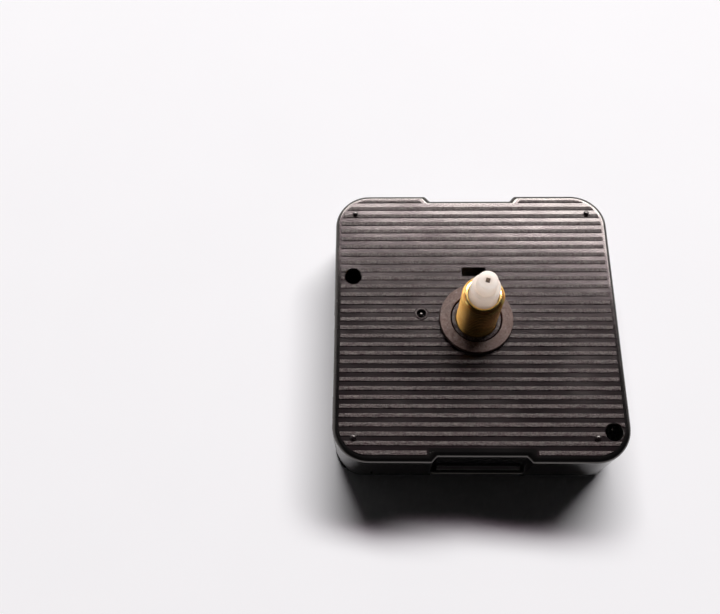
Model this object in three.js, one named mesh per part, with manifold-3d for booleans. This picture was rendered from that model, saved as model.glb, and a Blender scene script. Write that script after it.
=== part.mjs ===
// A quartz clock movement lying on its back, with its hand shaft upright.
// Millimetres. +Z runs up along the shaft and +Y towards the movement's top edge.
// The origin is on the shaft's axis, at the level that the movement rests on.

import * as THREE from 'three';
import { mergeVertices } from 'three/addons/utils/BufferGeometryUtils.js';
import Module from 'manifold-3d';

const wasm = await Module();
wasm.setup();

// Case, seen from the face: a rounded square with a shallow notch in its top and bottom edges.
const caseWidth = 56;
const caseHeight = 56.5;
const caseDepth = 16.3;
const frontDepth = 0.6687 * caseDepth;
const wall = 1.2;
const thinWall = 0.5;
const cornerRadius = 7;
const rimRounding = 0.6;
const notchWidth = 0.34 * caseWidth;
const notchRun = 1.4;
const notchDepth = 1.15;

// Face: raised ribs, small pips, holes and a collar round the shaft.
const ribCount = 31;
const ribPitch = 0.03124 * caseHeight;
const ribWidth = 0.96;
const ribHeight = 0.36;
const ribEndMargin = 1.2;
const ribCrownWidth = 0.6;
const pipInset = 4.05;
const pipTopInset = 4.55;
const lowRightPipInset = 6.5;
const pipRadius = 0.55;
const pipHeight = 0.75;
const leftHoleInset = 3.7;
const leftHoleHeight = 0.168 * caseHeight;
const rightHoleInset = 3.3;
const rightHoleBottomInset = 5.75;
const mountHoleRadius = 1.65;
const mountHoleRim = 0.6;
const screwBossRadius = 2.4;
const screwBossLength = 5;
const faceSlotHeight = 0.186 * caseHeight;
const faceSlotSize = [4.8, 2];
const dimpleRadius = 1;
const dimpleDepth = 0.4;
const dimpleRimRadius = 1.9;
const collarRadius = 4.9;
const collarHeight = 0.9;

// Side walls: a sunk strip beside the face and a flexible latch tongue between two slots.
const sidePanelTop = 0.03 * caseHeight;
const sidePanelBottom = -0.278 * caseHeight;
const sidePanelSink = 0.35;
const sideStripSink = 0.8;
const sideStripHeight = 2.3;
const faceLip = 0.45;
const tongueTop = -0.0655 * caseHeight;
const tongueBottom = -0.177 * caseHeight;
const tongueLength = 6;
const tongueSlot = 0.6;
const tongueSlotDepth = 1.8;
const tongueEndGap = 0.3;

// Bottom wall: a window in the notch, filled by a latch tab of the rear cover.
const latchWindowWidth = 0.275 * caseWidth;
const latchWindowHeight = 4.6;
const latchTabGap = 0.35;

// Rear cover, in steps from its top edge to the battery box.
const topStepDepth = 0.773 * caseDepth;
const gearBoxDepth = 0.8773 * caseDepth;
const grooveDepth = 0.816 * caseDepth;
const gearBoxTop = 0.2088 * caseHeight;
const gearBoxBottom = -0.0602 * caseHeight;
const coilBoxTop = -0.0832 * caseHeight;
const bayTop = -0.2106 * caseHeight;
const batteryEdgeShare = 0.926;
const coilEdgeRadius = 1.5;
const gearEdgeRadius = 0.8;
const rearSlotPlace = 0.3133 * caseHeight;
const rearSlotWidth = 1.4;
const rearSlotLength = 3;

// Hand shaft: a threaded bush with the hour tube, the minute tube and the seconds arbor inside it.
const bushRadius = 3.95;
const bushHeight = 12.6;
const threadPitch = 0.75;
const threadDepth = 0.36;
const bushChamfer = 0.4;
const bushFlangeRadius = 5.4;
const hourTubeRadius = 2.75;
const hourTubeHeight = 16;
const minuteTubeRadius = 1.9;
const minuteTubeHeight = 18.9;
const secondsArborRadius = 0.75;
const secondsArborSink = 0.25;
const socketWidth = 0.7;
const socketLength = 0.9;
const socketDepth = 1.6;
const washerRadius = 7.2;
const washerHoleRadius = 5.05;
const washerThickness = 1.2;

// Fits between pieces.
const runningClearance = 0.1;
const shakeClearance = 0.3;
const restClearance = 0.3;

// Going train: the rotor drives the seconds wheel at 30 to 1, and that the centre wheel at 60 to 1.
const rotorPinionTeeth = 6;
const middleWheelTeeth = 36;
const middlePinionTeeth = 6;
const secondsWheelTeeth = 30;
const secondsPinionTeeth = 6;
const thirdWheelTeeth = 45;
const thirdPinionTeeth = 6;
const centreWheelTeeth = 48;
const worksSpan = Math.min(caseWidth, caseHeight);
const rotorModule = 0.005 * worksSpan;
const secondsModule = 0.0068 * worksSpan;
const thirdDistance = 0.1366 * worksSpan;

// Motion work: the minute pinion turns the hour wheel at 12 to 1, and the knob turns them both.
const minutePinionTeeth = 10;
const motionWheelTeeth = 30;
const motionPinionTeeth = 8;
const hourWheelTeeth = 32;
const knobPinionTeeth = 10;
const motionModule = 0.00965 * worksSpan;

// Directions from one axis to the next, in degrees from +X.
const motionDegrees = 173;
const knobDegrees = 164.4;
const middleDegrees = 50;
const rotorDegrees = -18;
const thirdDegrees = 150;

// Levels and thicknesses of the works, as shares of the height of the room that they stand in.
const roomHeight = caseDepth - wall;
const ridgeLevel = 0.2848 * roomHeight;
const rotorMagnetLevel = 0.2583 * roomHeight;
const rotorMagnetHeight = 0.106 * roomHeight;
const rotorPinionLevel = 0.3775 * roomHeight;
const rotorPinionHeight = 0.0662 * roomHeight;
const middleWheelLevel = 0.3907 * roomHeight;
const trainWheelThickness = 0.0397 * roomHeight;
const middlePinionHeight = 0.0795 * roomHeight;
const secondsWheelLevel = 0.457 * roomHeight;
const secondsPinionHeight = 0.0728 * roomHeight;
const thirdWheelLevel = 0.5232 * roomHeight;
const thirdPinionHeight = 0.1126 * roomHeight;
const centreWheelLevel = 0.6225 * roomHeight;
const centreWheelThickness = 0.0464 * roomHeight;
const middlePlateLevel = 0.6887 * roomHeight;
const middlePlateThickness = 0.0662 * roomHeight;
const minutePinionHeight = 0.0662 * roomHeight;
const motionWheelLevel = 0.7748 * roomHeight;
const motionWheelThickness = 0.053 * roomHeight;
const motionPinionHeight = 0.0993 * roomHeight;
const hourWheelLevel = 0.8543 * roomHeight;
const hourWheelThickness = 0.0596 * roomHeight;
const bushFlangeThickness = 0.0662 * roomHeight;
const bridgeLevel = 0.5298 * roomHeight;
const bridgeThickness = 0.053 * roomHeight;
const boardLevel = 0.5497 * roomHeight;
const boardThickness = 0.053 * roomHeight;
const statorThickness = 0.0662 * roomHeight;
const coilCoreThickness = 0.053 * roomHeight;
const spigotEndLevel = 0.5828 * roomHeight;

// Arbors, pivots, posts and bosses.
const pivotRadius = 0.35;
const pivotLength = 0.7;
const arborRadius = 0.6;
const magnetRadius = 0.0536 * worksSpan;
const minuteJournalRadius = 2.2;
const minuteSpigotRadius = 1.6;
const studRadius = 0.9;
const bossRadiusShares = { seconds: 0.0196, middle: 0.0161, third: 0.0179, rotor: 0.0214 };
const halfTurnDegrees = 180;
const knobShaftRadius = 1.4;
const platePostRadius = 1.3;
const platePostShares = [[-0.366, 0.2566], [0.1875, 0.2566], [0.2143, -0.0796], [-0.366, -0.1327]];
const bridgePostRadius = 0.0214 * worksSpan;
const bridgePostShares = [[0.1696, 0.183], [0.1321, -0.0714]];
const bridgeArmWidth = 3.6;
const boardPostInset = 2;
const middlePlateWallGap = 2.4;
const middlePlateBayGap = 1.4;
const middlePlateBoardGap = 0.5;
const middlePlateMargin = 0.8;
const middlePlateChamfer = 1.8;

// Clutch between the centre wheel and the minute arbor.
const clutchRingRadius = 2.3;
const clutchArmLength = 3.4;
const clutchArmWidth = 1;
const clutchArmCount = 3;
const clutchThickness = 0.35;
const clutchGap = 0.05;

// Setting knob on the back.
const knobRadius = 0.1125 * worksSpan;
const knobTeeth = 28;
const knobToothDepth = 0.7;
const knobRimWidth = 1.7;
const knobRecessDepth = 0.5;
const knobSpigotRadius = 1;
const knobSpigotEnd = 0.6;

// Motor: a stator plate with a coil bridging its two legs.
const airGap = 0.4;
const statorRingWidth = 0.0214 * worksSpan;
const statorLegWidth = 0.05 * worksSpan;
const leftLegPlace = 0.0821 * worksSpan;
const rightLegInset = 4.8;
const statorYokeBottom = -0.0429 * worksSpan;
const statorYokeTop = 0.0286 * worksSpan;
const windingSink = 0.2;
const coilCoreShare = 0.696;
const coilCoreOverhang = 1.2;
const bobbinFlangeThickness = 0.6;
const bobbinTubeShare = 0.565;

// Circuit board with its chip and crystal.
const boardWidth = 0.2321 * caseWidth;
const boardLength = 0.4319 * caseHeight;
const chipShares = [0.39, 0.336];
const chipRadius = 0.2 * boardWidth;
const chipHeight = 0.9;
const crystalShares = [0.39, 0.7254];
const crystalRadius = 1;
const crystalLength = 0.246 * boardLength;
const crystalLeadRadius = 0.2;
const crystalLeadLength = 2.2;
const crystalLeadSpacing = 0.7;

// Battery contacts.
const contactThickness = 0.4;
const contactTopInset = 2.7;
const contactBottomInset = 3.15;
const contactLowInset = 1;
const contactHighInset = 2.5;
const contactTailWidth = 1.6;
const positiveTailLength = 3.2;
const negativeTailLength = 3.1;
const springBulge = 2.4;
const springWidth = 4;
const springLeafThickness = 0.35;
const contactSlotMargin = 0.3;
const contactButtonRadius = 2.2;
const contactButtonHeight = 0.4;

// Smoothness of round shapes, as numbers of straight segments.
const fineSegments = 30;
const roundSegments = 20;
const pinSegments = 10;
const threadSegments = 16;
const cornerSegments = 5;

// Levels that follow from the sizes above.
const faceLevel = caseDepth;
const partingLevel = faceLevel - frontDepth;
const innerFaceLevel = faceLevel - wall;
const gearBoxLevel = faceLevel - gearBoxDepth;
const gearFloorLevel = gearBoxLevel + wall;
const topStepLevel = faceLevel - topStepDepth;
const grooveLevel = faceLevel - grooveDepth;
const middlePlateTop = middlePlateLevel + middlePlateThickness;
const knobHeight = gearBoxLevel - restClearance;
const batteryEdgeRadius = batteryEdgeShare * partingLevel;
const coreLevel = ridgeLevel + statorThickness;
const coilAxisLevel = coreLevel + coilCoreThickness / 2;
const bayBottom = -caseHeight / 2 + wall;
const bayEnd = caseWidth / 2 - wall;
const bayMiddle = (bayBottom + bayTop) / 2;
const contactTop = bayTop - contactTopInset;
const contactBottom = bayBottom + contactBottomInset;
const contactLow = wall + contactLowInset;
const contactHigh = innerFaceLevel - contactHighInset;
const contactTailLow = boardLevel + boardThickness + restClearance;
const contactTailHigh = contactTailLow + contactTailWidth;
const contactStripPlace = bayTop + wall + restClearance;
const boardRight = bayEnd - contactThickness;
const boardLeft = boardRight - boardWidth;
const boardBottom = contactStripPlace + contactThickness / 2;
const boardTop = boardBottom + boardLength;
const coilPlace = (coilBoxTop + bayTop) / 2;
const coilRoom = coilBoxTop - bayTop - 2 * wall;
const bobbinFlangeRadius = Math.min(
  boardLevel - restClearance - coilAxisLevel,
  coilRoom / 2 - runningClearance,
);
const bobbinTubeRadius = bobbinTubeShare * bobbinFlangeRadius;
const coilCoreWidth = coilCoreShare * bobbinFlangeRadius;
const coilRadius = bobbinFlangeRadius - windingSink;
const statorLegPlaces = [leftLegPlace, boardRight - rightLegInset];
const boardPosts = [boardLeft + boardPostInset, boardRight - boardPostInset].map(
  (x) => [x, boardTop - boardPostInset],
);
const [chipPlace, crystalPlace] = [chipShares, crystalShares].map(([along, up]) => [
  boardLeft + along * boardWidth,
  boardBottom + up * boardLength,
]);
const platePosts = platePostShares.map(([x, y]) => [x * caseWidth, y * caseHeight]);
const bridgePosts = bridgePostShares.map(([x, y]) => [x * worksSpan, y * worksSpan]);
const mountHoles = [
  [-caseWidth / 2 + leftHoleInset, leftHoleHeight],
  [caseWidth / 2 - rightHoleInset, -caseHeight / 2 + rightHoleBottomInset],
];
const [pipX, pipY] = [caseWidth / 2 - pipInset, caseHeight / 2 - pipTopInset];
const pipPlaces = [
  [-pipX, pipY],
  [pipX, pipY],
  [-pipX, -pipY],
  [caseWidth / 2 - lowRightPipInset, -pipY],
];
const minutePinionLevel = motionWheelLevel - runningClearance;
const journalLevel = centreWheelLevel + centreWheelThickness + clutchGap;
const knobBearingLevel = hourWheelLevel;
const knobPivotTop = knobBearingLevel + pivotLength;

// Axes of the wheels.
const middleDistance = secondsModule * (secondsWheelTeeth + middlePinionTeeth) / 2;
const rotorDistance = rotorModule * (rotorPinionTeeth + middleWheelTeeth) / 2;
const thirdModule = 2 * thirdDistance / (secondsPinionTeeth + thirdWheelTeeth);
const centreModule = 2 * thirdDistance / (thirdPinionTeeth + centreWheelTeeth);
const motionDistance = motionModule * (minutePinionTeeth + motionWheelTeeth) / 2;
const knobDistance = motionModule * (knobPinionTeeth + motionWheelTeeth) / 2;
const shaftAxis = [0, 0];
const middleAxis = stepFrom(shaftAxis, middleDegrees, middleDistance);
const rotorAxis = stepFrom(middleAxis, rotorDegrees, rotorDistance);
const thirdAxis = stepFrom(shaftAxis, thirdDegrees, thirdDistance);
const motionAxis = stepFrom(shaftAxis, motionDegrees, motionDistance);
const knobAxis = stepFrom(motionAxis, knobDegrees, knobDistance);

const materials = {
  caseBlack: material(0x1b1b1e, 0.38, 0),
  coverBlack: material(0x1a1a1c, 0.34, 0),
  rubber: material(0x242426, 0.85, 0),
  brass: material(0xc8993c, 0.3, 1),
  whitePlastic: material(0xe6e4dc, 0.45, 0),
  gearPlastic: material(0xdcd8c8, 0.5, 0),
  knobBlack: material(0x202022, 0.55, 0),
  steel: material(0x9a9ca0, 0.35, 1),
  magnet: material(0x3a3a3e, 0.4, 1),
  copper: material(0xa8562c, 0.35, 1),
  board: material(0x2c5a34, 0.55, 0),
  blackResin: material(0x121214, 0.4, 0),
  nickel: material(0xb8b6ae, 0.3, 1),
};

// Helpers: plain shapes become solids, and solids are joined and cut.

function material(color, roughness, metalness) {
  return new THREE.MeshStandardMaterial({ color, roughness, metalness });
}

function stepFrom([x, y], degrees, distance) {
  const angle = THREE.MathUtils.degToRad(degrees);
  return [x + distance * Math.cos(angle), y + distance * Math.sin(angle)];
}

function solidOf(geometry) {
  geometry.deleteAttribute('normal');
  geometry.deleteAttribute('uv');
  const merged = mergeVertices(geometry);
  const corners = merged.index.array;
  const triangles = [];
  for (let i = 0; i < corners.length; i += 3) {
    const [a, b, c] = [corners[i], corners[i + 1], corners[i + 2]];
    if (a !== b && b !== c && c !== a) triangles.push(a, b, c);
  }
  return new wasm.Manifold(new wasm.Mesh({
    numProp: 3,
    vertProperties: new Float32Array(merged.attributes.position.array),
    triVerts: new Uint32Array(triangles),
  }));
}

function join(...solids) {
  return solids.flat().reduce((sum, next) => sum.add(next));
}

function cut(solid, ...tools) {
  return tools.flat().reduce((rest, tool) => rest.subtract(tool), solid);
}

function prism(shape, low, high) {
  const settings = { depth: high - low, bevelEnabled: false, curveSegments: cornerSegments };
  return solidOf(new THREE.ExtrudeGeometry(shape, settings).translate(0, 0, low));
}

function polygon(points) {
  return new THREE.Shape(points.map(([x, y]) => new THREE.Vector2(x, y)));
}

function block([left, right], [front, back], [low, high]) {
  const box = new THREE.BoxGeometry(right - left, back - front, high - low);
  return solidOf(box.translate((left + right) / 2, (front + back) / 2, (low + high) / 2));
}

function disc([x, y], radius, low, high, segments = roundSegments) {
  const cylinder = new THREE.CylinderGeometry(radius, radius, high - low, segments);
  return solidOf(cylinder.rotateX(Math.PI / 2).translate(x, y, (low + high) / 2));
}

function discs(places, radius, low, high, segments = pinSegments) {
  return places.map((place) => disc(place, radius, low, high, segments));
}

// A profile in the YZ plane, given as a shape with y along and z up, drawn out between two x.
function sideProfile(shape, left, right) {
  const settings = { depth: right - left, bevelEnabled: false, curveSegments: cornerSegments };
  const geometry = new THREE.ExtrudeGeometry(shape, settings);
  const turn = new THREE.Matrix4().makeBasis(
    new THREE.Vector3(0, 1, 0),
    new THREE.Vector3(0, 0, 1),
    new THREE.Vector3(1, 0, 0),
  );
  return solidOf(geometry.applyMatrix4(turn).translate(left, 0, 0));
}

// A straight bar between two places, as wide as twice its half width.
function bar([startX, startY], [endX, endY], halfWidth, low, high) {
  const length = Math.hypot(endX - startX, endY - startY);
  const angle = THREE.MathUtils.radToDeg(Math.atan2(endY - startY, endX - startX));
  return block([0, length], [-halfWidth, halfWidth], [low, high])
    .rotate([0, 0, angle])
    .translate([startX, startY, 0]);
}

function turned(profile, [x, y] = shaftAxis, segments = roundSegments) {
  const points = profile.map(([radius, height]) => new THREE.Vector2(radius, height));
  const lathe = new THREE.LatheGeometry(points, segments);
  return solidOf(lathe.rotateX(Math.PI / 2).translate(x, y, 0));
}

function geometryOf(solid) {
  const mesh = solid.getMesh();
  const geometry = new THREE.BufferGeometry();
  geometry.setAttribute('position', new THREE.BufferAttribute(mesh.vertProperties, mesh.numProp));
  geometry.setIndex(new THREE.BufferAttribute(mesh.triVerts, 1));
  geometry.computeVertexNormals();
  return geometry;
}

const group = new THREE.Group();

function place(name, solid, look) {
  const mesh = new THREE.Mesh(geometryOf(solid), look);
  mesh.name = name;
  group.add(mesh);
}

// The case outline, moved inwards by an inset. The notches keep the wall's thickness.
function caseOutline(inset) {
  const halfWidth = caseWidth / 2 - inset;
  const halfHeight = caseHeight / 2 - inset;
  const radius = cornerRadius - inset;
  const notchEnd = notchWidth / 2 + inset;
  const notchStart = notchEnd - notchRun;
  const notchMiddle = notchEnd - notchRun / 2;
  const sunk = halfHeight - notchDepth;
  const shape = new THREE.Shape();
  shape.moveTo(-halfWidth + radius, -halfHeight);
  shape.lineTo(-notchEnd, -halfHeight);
  shape.bezierCurveTo(-notchMiddle, -halfHeight, -notchMiddle, -sunk, -notchStart, -sunk);
  shape.lineTo(notchStart, -sunk);
  shape.bezierCurveTo(notchMiddle, -sunk, notchMiddle, -halfHeight, notchEnd, -halfHeight);
  shape.lineTo(halfWidth - radius, -halfHeight);
  shape.absarc(halfWidth - radius, -halfHeight + radius, radius, -Math.PI / 2, 0);
  shape.absarc(halfWidth - radius, halfHeight - radius, radius, 0, Math.PI / 2);
  shape.lineTo(notchEnd, halfHeight);
  shape.bezierCurveTo(notchMiddle, halfHeight, notchMiddle, sunk, notchStart, sunk);
  shape.lineTo(-notchStart, sunk);
  shape.bezierCurveTo(-notchMiddle, sunk, -notchMiddle, halfHeight, -notchEnd, halfHeight);
  shape.lineTo(-halfWidth + radius, halfHeight);
  shape.absarc(-halfWidth + radius, halfHeight - radius, radius, Math.PI / 2, Math.PI);
  shape.absarc(-halfWidth + radius, -halfHeight + radius, radius, Math.PI, 1.5 * Math.PI);
  return shape;
}

// Gear teeth with radial flanks below the pitch circle and a narrowing tip above it.
const wheelToothShares = { thickness: 0.42, addendum: 0.95, dedendum: 1.15, tip: 0 };
const pinionToothShares = { thickness: 0.36, addendum: 0.7, dedendum: 1.3, tip: 0.4 };

function gear(teeth, module, tooth, centre, angle, low, high) {
  const pitchRadius = teeth * module / 2;
  const halfTooth = tooth.thickness * Math.PI / teeth;
  const corners = [
    [pitchRadius - tooth.dedendum * module, -halfTooth],
    [pitchRadius, -halfTooth],
    [pitchRadius + tooth.addendum * module, -halfTooth * tooth.tip],
    [pitchRadius + tooth.addendum * module, halfTooth * tooth.tip],
    [pitchRadius, halfTooth],
    [pitchRadius - tooth.dedendum * module, halfTooth],
  ];
  if (tooth.tip === 0) corners.splice(3, 1);
  const points = [];
  for (let i = 0; i < teeth; i += 1) {
    const toothAngle = angle + 2 * Math.PI * i / teeth;
    for (const [radius, offset] of corners) {
      points.push([
        centre[0] + radius * Math.cos(toothAngle + offset),
        centre[1] + radius * Math.sin(toothAngle + offset),
      ]);
    }
  }
  return prism(polygon(points), low, high);
}

// The start angle that puts a follower's gap opposite a driver's tooth.
function meshedAngle(driverTeeth, driverAngle, degrees, followerTeeth) {
  const direction = THREE.MathUtils.degToRad(degrees);
  const driverOffset = (driverAngle - direction) * driverTeeth / followerTeeth;
  return direction + Math.PI + Math.PI / followerTeeth - driverOffset;
}

// Front case: the ribbed face, the side walls and the wall above the battery bay.

function ribs() {
  const end = caseWidth / 2 - ribEndMargin;
  const section = polygon([
    [-ribWidth / 2, -ribHeight],
    [ribWidth / 2, -ribHeight],
    [ribCrownWidth / 2, ribHeight],
    [-ribCrownWidth / 2, ribHeight],
  ]);
  const rows = [];
  for (let i = 0; i < ribCount; i += 1) {
    const y = (i - (ribCount - 1) / 2) * ribPitch;
    rows.push(sideProfile(section, -end, end).translate([0, y, faceLevel]));
  }
  const limit = prism(caseOutline(ribEndMargin), faceLevel - wall, faceLevel + ribHeight);
  const top = faceLevel + pipHeight;
  const slot = faceSlotBox(mountHoleRim, faceLevel - ribHeight, top);
  return cut(
    join(rows).intersect(limit),
    disc(shaftAxis, washerRadius + runningClearance, faceLevel, top, fineSegments),
    discs(mountHoles, mountHoleRadius + mountHoleRim, faceLevel, top, roundSegments),
    disc(stepFrom(shaftAxis, motionDegrees, motionDistance), dimpleRimRadius, faceLevel, top),
    slot,
  );
}

function faceSlotBox(margin, low, high) {
  const halfLength = faceSlotSize[0] / 2 + margin;
  const halfWidth = faceSlotSize[1] / 2 + margin;
  const across = [faceSlotHeight - halfWidth, faceSlotHeight + halfWidth];
  return block([-halfLength, halfLength], across, [low, high]);
}

// The sunk strip and panel of one side wall, with the two slots that free the latch tongue.
function sideCuts(side) {
  const outside = caseWidth / 2 + wall;
  const across = (depth) => [side * (caseWidth / 2 - depth), side * outside].sort((a, b) => a - b);
  const stripLow = faceLevel - sideStripHeight;
  const panel = block(across(sidePanelSink), [sidePanelBottom, sidePanelTop], [0, stripLow]);
  const stripLevels = [stripLow, faceLevel - faceLip];
  const strip = block(across(sideStripSink), [sidePanelBottom, sidePanelTop], stripLevels);
  const slotLevels = [0, partingLevel + tongueLength];
  const slotDepth = tongueSlotDepth + sidePanelSink;
  const slots = [tongueTop, tongueBottom - tongueSlot].map(
    (y) => block(across(slotDepth), [y, y + tongueSlot], slotLevels),
  );
  const tongueEnd = block(
    across(slotDepth),
    [tongueBottom, tongueTop],
    [0, partingLevel + tongueEndGap],
  );
  return [panel, strip, ...slots, tongueEnd];
}

// A block of the case outline with its edge rounded on the face side only.
function roundedCase(low, high) {
  const settings = {
    depth: high - low,
    bevelSize: rimRounding,
    bevelThickness: rimRounding,
    bevelOffset: -rimRounding,
    bevelSegments: 2,
    curveSegments: cornerSegments,
  };
  const geometry = new THREE.ExtrudeGeometry(caseOutline(0), settings);
  const whole = solidOf(geometry.translate(0, 0, low));
  const span = [-caseWidth, caseWidth];
  return cut(whole, block(span, span, [low - 2 * rimRounding, low]));
}

// The battery bay's room. Its walls are thin where the notch and the corners come close to the cell.
function bayRoom(low, high) {
  const room = block([-bayEnd, bayEnd], [bayBottom, bayTop], [low, high]);
  return room.intersect(prism(caseOutline(thinWall), low, high));
}

function frontCase() {
  const inside = [partingLevel - wall, innerFaceLevel];
  const top = faceLevel + pipHeight;
  const shell = cut(
    roundedCase(partingLevel, faceLevel - rimRounding),
    prism(caseOutline(wall), ...inside),
    bayRoom(...inside),
  );
  const divider = block([-bayEnd, bayEnd], [bayTop, bayTop + wall], [partingLevel, innerFaceLevel]);
  const studTop = motionWheelLevel - shakeClearance / 2;
  const inner = [
    divider,
    discs(platePosts, platePostRadius, middlePlateTop, innerFaceLevel),
    disc(mountHoles[0], screwBossRadius, innerFaceLevel - screwBossLength, innerFaceLevel),
    disc(motionAxis, studRadius, studTop, innerFaceLevel + wall / 2, pinSegments),
    disc(knobAxis, knobShaftRadius + wall, knobBearingLevel, innerFaceLevel),
  ].flat();
  const outer = [
    ribs(),
    disc(shaftAxis, collarRadius, innerFaceLevel, faceLevel + collarHeight, fineSegments),
    discs(pipPlaces, pipRadius, innerFaceLevel, top),
  ].flat();
  const slots = [-1, 1].map((side) => contactSlot(side));
  return cut(
    join(shell, inner, outer),
    disc(shaftAxis, bushRadius + runningClearance, hourWheelLevel, top + collarHeight, fineSegments),
    discs(mountHoles, mountHoleRadius, innerFaceLevel - 2 * screwBossLength, top, roundSegments),
    disc(knobAxis, pivotRadius + runningClearance, knobBearingLevel - wall, knobPivotTop, pinSegments),
    disc(motionAxis, dimpleRadius, faceLevel - dimpleDepth, top),
    faceSlotBox(0, innerFaceLevel - wall, top),
    sideCuts(-1),
    sideCuts(1),
    latchBox(0, [-wall, 2 * wall]),
    slots,
  );
}

// The way through the wall above the battery bay for one contact's tail.
function contactSlot(side) {
  const inner = bayEnd - contactThickness - contactSlotMargin;
  const across = [side * inner, side * bayEnd].sort((a, b) => a - b);
  const margin = contactSlotMargin;
  return block(
    across,
    [bayTop - wall, bayTop + 2 * wall],
    [contactTailLow - margin, contactTailHigh + margin],
  );
}

// A box in the bottom wall's notch: the latch window, or the smaller latch tab inside it.
function latchBox(inset, [outer, inner]) {
  const half = latchWindowWidth / 2 - inset;
  const outside = -caseHeight / 2 + notchDepth;
  const levels = [partingLevel - wall, partingLevel + latchWindowHeight - inset];
  return block([-half, half], [outside + outer, outside + inner], levels);
}

// Rear cover: a stepped shell with the coil box, the battery bay and the posts for the train.

function coverProfile() {
  const bottom = -caseHeight / 2;
  const shape = new THREE.Shape();
  shape.moveTo(bottom, partingLevel);
  shape.lineTo(bottom, batteryEdgeRadius);
  shape.absarc(bottom + batteryEdgeRadius, batteryEdgeRadius, batteryEdgeRadius, Math.PI, 1.5 * Math.PI);
  shape.lineTo(coilBoxTop - coilEdgeRadius, 0);
  shape.absarc(coilBoxTop - coilEdgeRadius, coilEdgeRadius, coilEdgeRadius, 1.5 * Math.PI, 2 * Math.PI);
  shape.lineTo(coilBoxTop, grooveLevel);
  shape.lineTo(gearBoxBottom, grooveLevel);
  shape.lineTo(gearBoxBottom, gearBoxLevel);
  shape.lineTo(gearBoxTop - gearEdgeRadius, gearBoxLevel);
  const cornerHeight = gearBoxLevel + gearEdgeRadius;
  shape.absarc(gearBoxTop - gearEdgeRadius, cornerHeight, gearEdgeRadius, 1.5 * Math.PI, 2 * Math.PI);
  shape.lineTo(gearBoxTop, topStepLevel);
  shape.lineTo(caseHeight / 2, topStepLevel);
  shape.lineTo(caseHeight / 2, partingLevel);
  return shape;
}

function coverCavityProfile() {
  const above = partingLevel + wall;
  return polygon([
    [bayTop + wall, above],
    [bayTop + wall, wall],
    [coilBoxTop - wall, wall],
    [coilBoxTop - wall, ridgeLevel],
    [gearBoxBottom + wall, ridgeLevel],
    [gearBoxBottom + wall, gearFloorLevel],
    [gearBoxTop - wall, gearFloorLevel],
    [gearBoxTop - wall, topStepLevel + wall],
    [caseHeight, topStepLevel + wall],
    [caseHeight, above],
  ]);
}

// The lower bearings: an axis, the boss round it and the level of the boss's top.
const coverBearings = [
  { axis: shaftAxis, share: bossRadiusShares.seconds, top: secondsWheelLevel - shakeClearance },
  { axis: middleAxis, share: bossRadiusShares.middle, top: middleWheelLevel - shakeClearance },
  { axis: thirdAxis, share: bossRadiusShares.third, top: thirdWheelLevel - shakeClearance },
  { axis: rotorAxis, share: bossRadiusShares.rotor, top: rotorMagnetLevel - shakeClearance },
];

function rearCover() {
  const outline = prism(caseOutline(0), 0, partingLevel);
  const inside = prism(caseOutline(wall), 0, partingLevel + wall);
  const span = [-caseWidth / 2, caseWidth / 2];
  const body = outline.intersect(sideProfile(coverProfile(), ...span));
  const cavity = inside.intersect(sideProfile(coverCavityProfile(), ...span));
  const bay = bayRoom(-wall, partingLevel + wall);
  const rearSlot = block(
    [-caseWidth / 2 - wall, -caseWidth / 2 + rearSlotLength],
    [rearSlotPlace - rearSlotWidth / 2, rearSlotPlace + rearSlotWidth / 2],
    [0, topStepLevel + wall / 2],
  );
  const posts = [
    discs(platePosts, platePostRadius, topStepLevel + wall / 2, middlePlateLevel),
    disc(platePosts[2], platePostRadius, grooveLevel + wall / 2, middlePlateLevel, pinSegments),
    disc(platePosts[3], platePostRadius, wall / 2, middlePlateLevel, pinSegments),
    disc(bridgePosts[0], bridgePostRadius, gearFloorLevel - wall / 2, bridgeLevel, pinSegments),
    disc(bridgePosts[1], bridgePostRadius, ridgeLevel - wall / 2, bridgeLevel, pinSegments),
    discs(boardPosts, bridgePostRadius, topStepLevel + wall / 2, boardLevel),
  ].flat();
  const bosses = coverBearings.map(({ axis, share, top }) => (
    disc(axis, share * worksSpan, gearFloorLevel - wall / 2, top, pinSegments)
  ));
  const boreRadius = pivotRadius + runningClearance;
  const bores = coverBearings.map(({ axis, top }) => (
    disc(axis, boreRadius, top - pivotLength - runningClearance, top + wall, pinSegments)
  ));
  return cut(
    join(cut(body, cavity, bay, rearSlot), posts, bosses, latchBox(latchTabGap, [0, thinWall])),
    bores,
    disc(knobAxis, knobShaftRadius + runningClearance, 0, gearFloorLevel + wall, roundSegments),
  );
}

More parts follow.
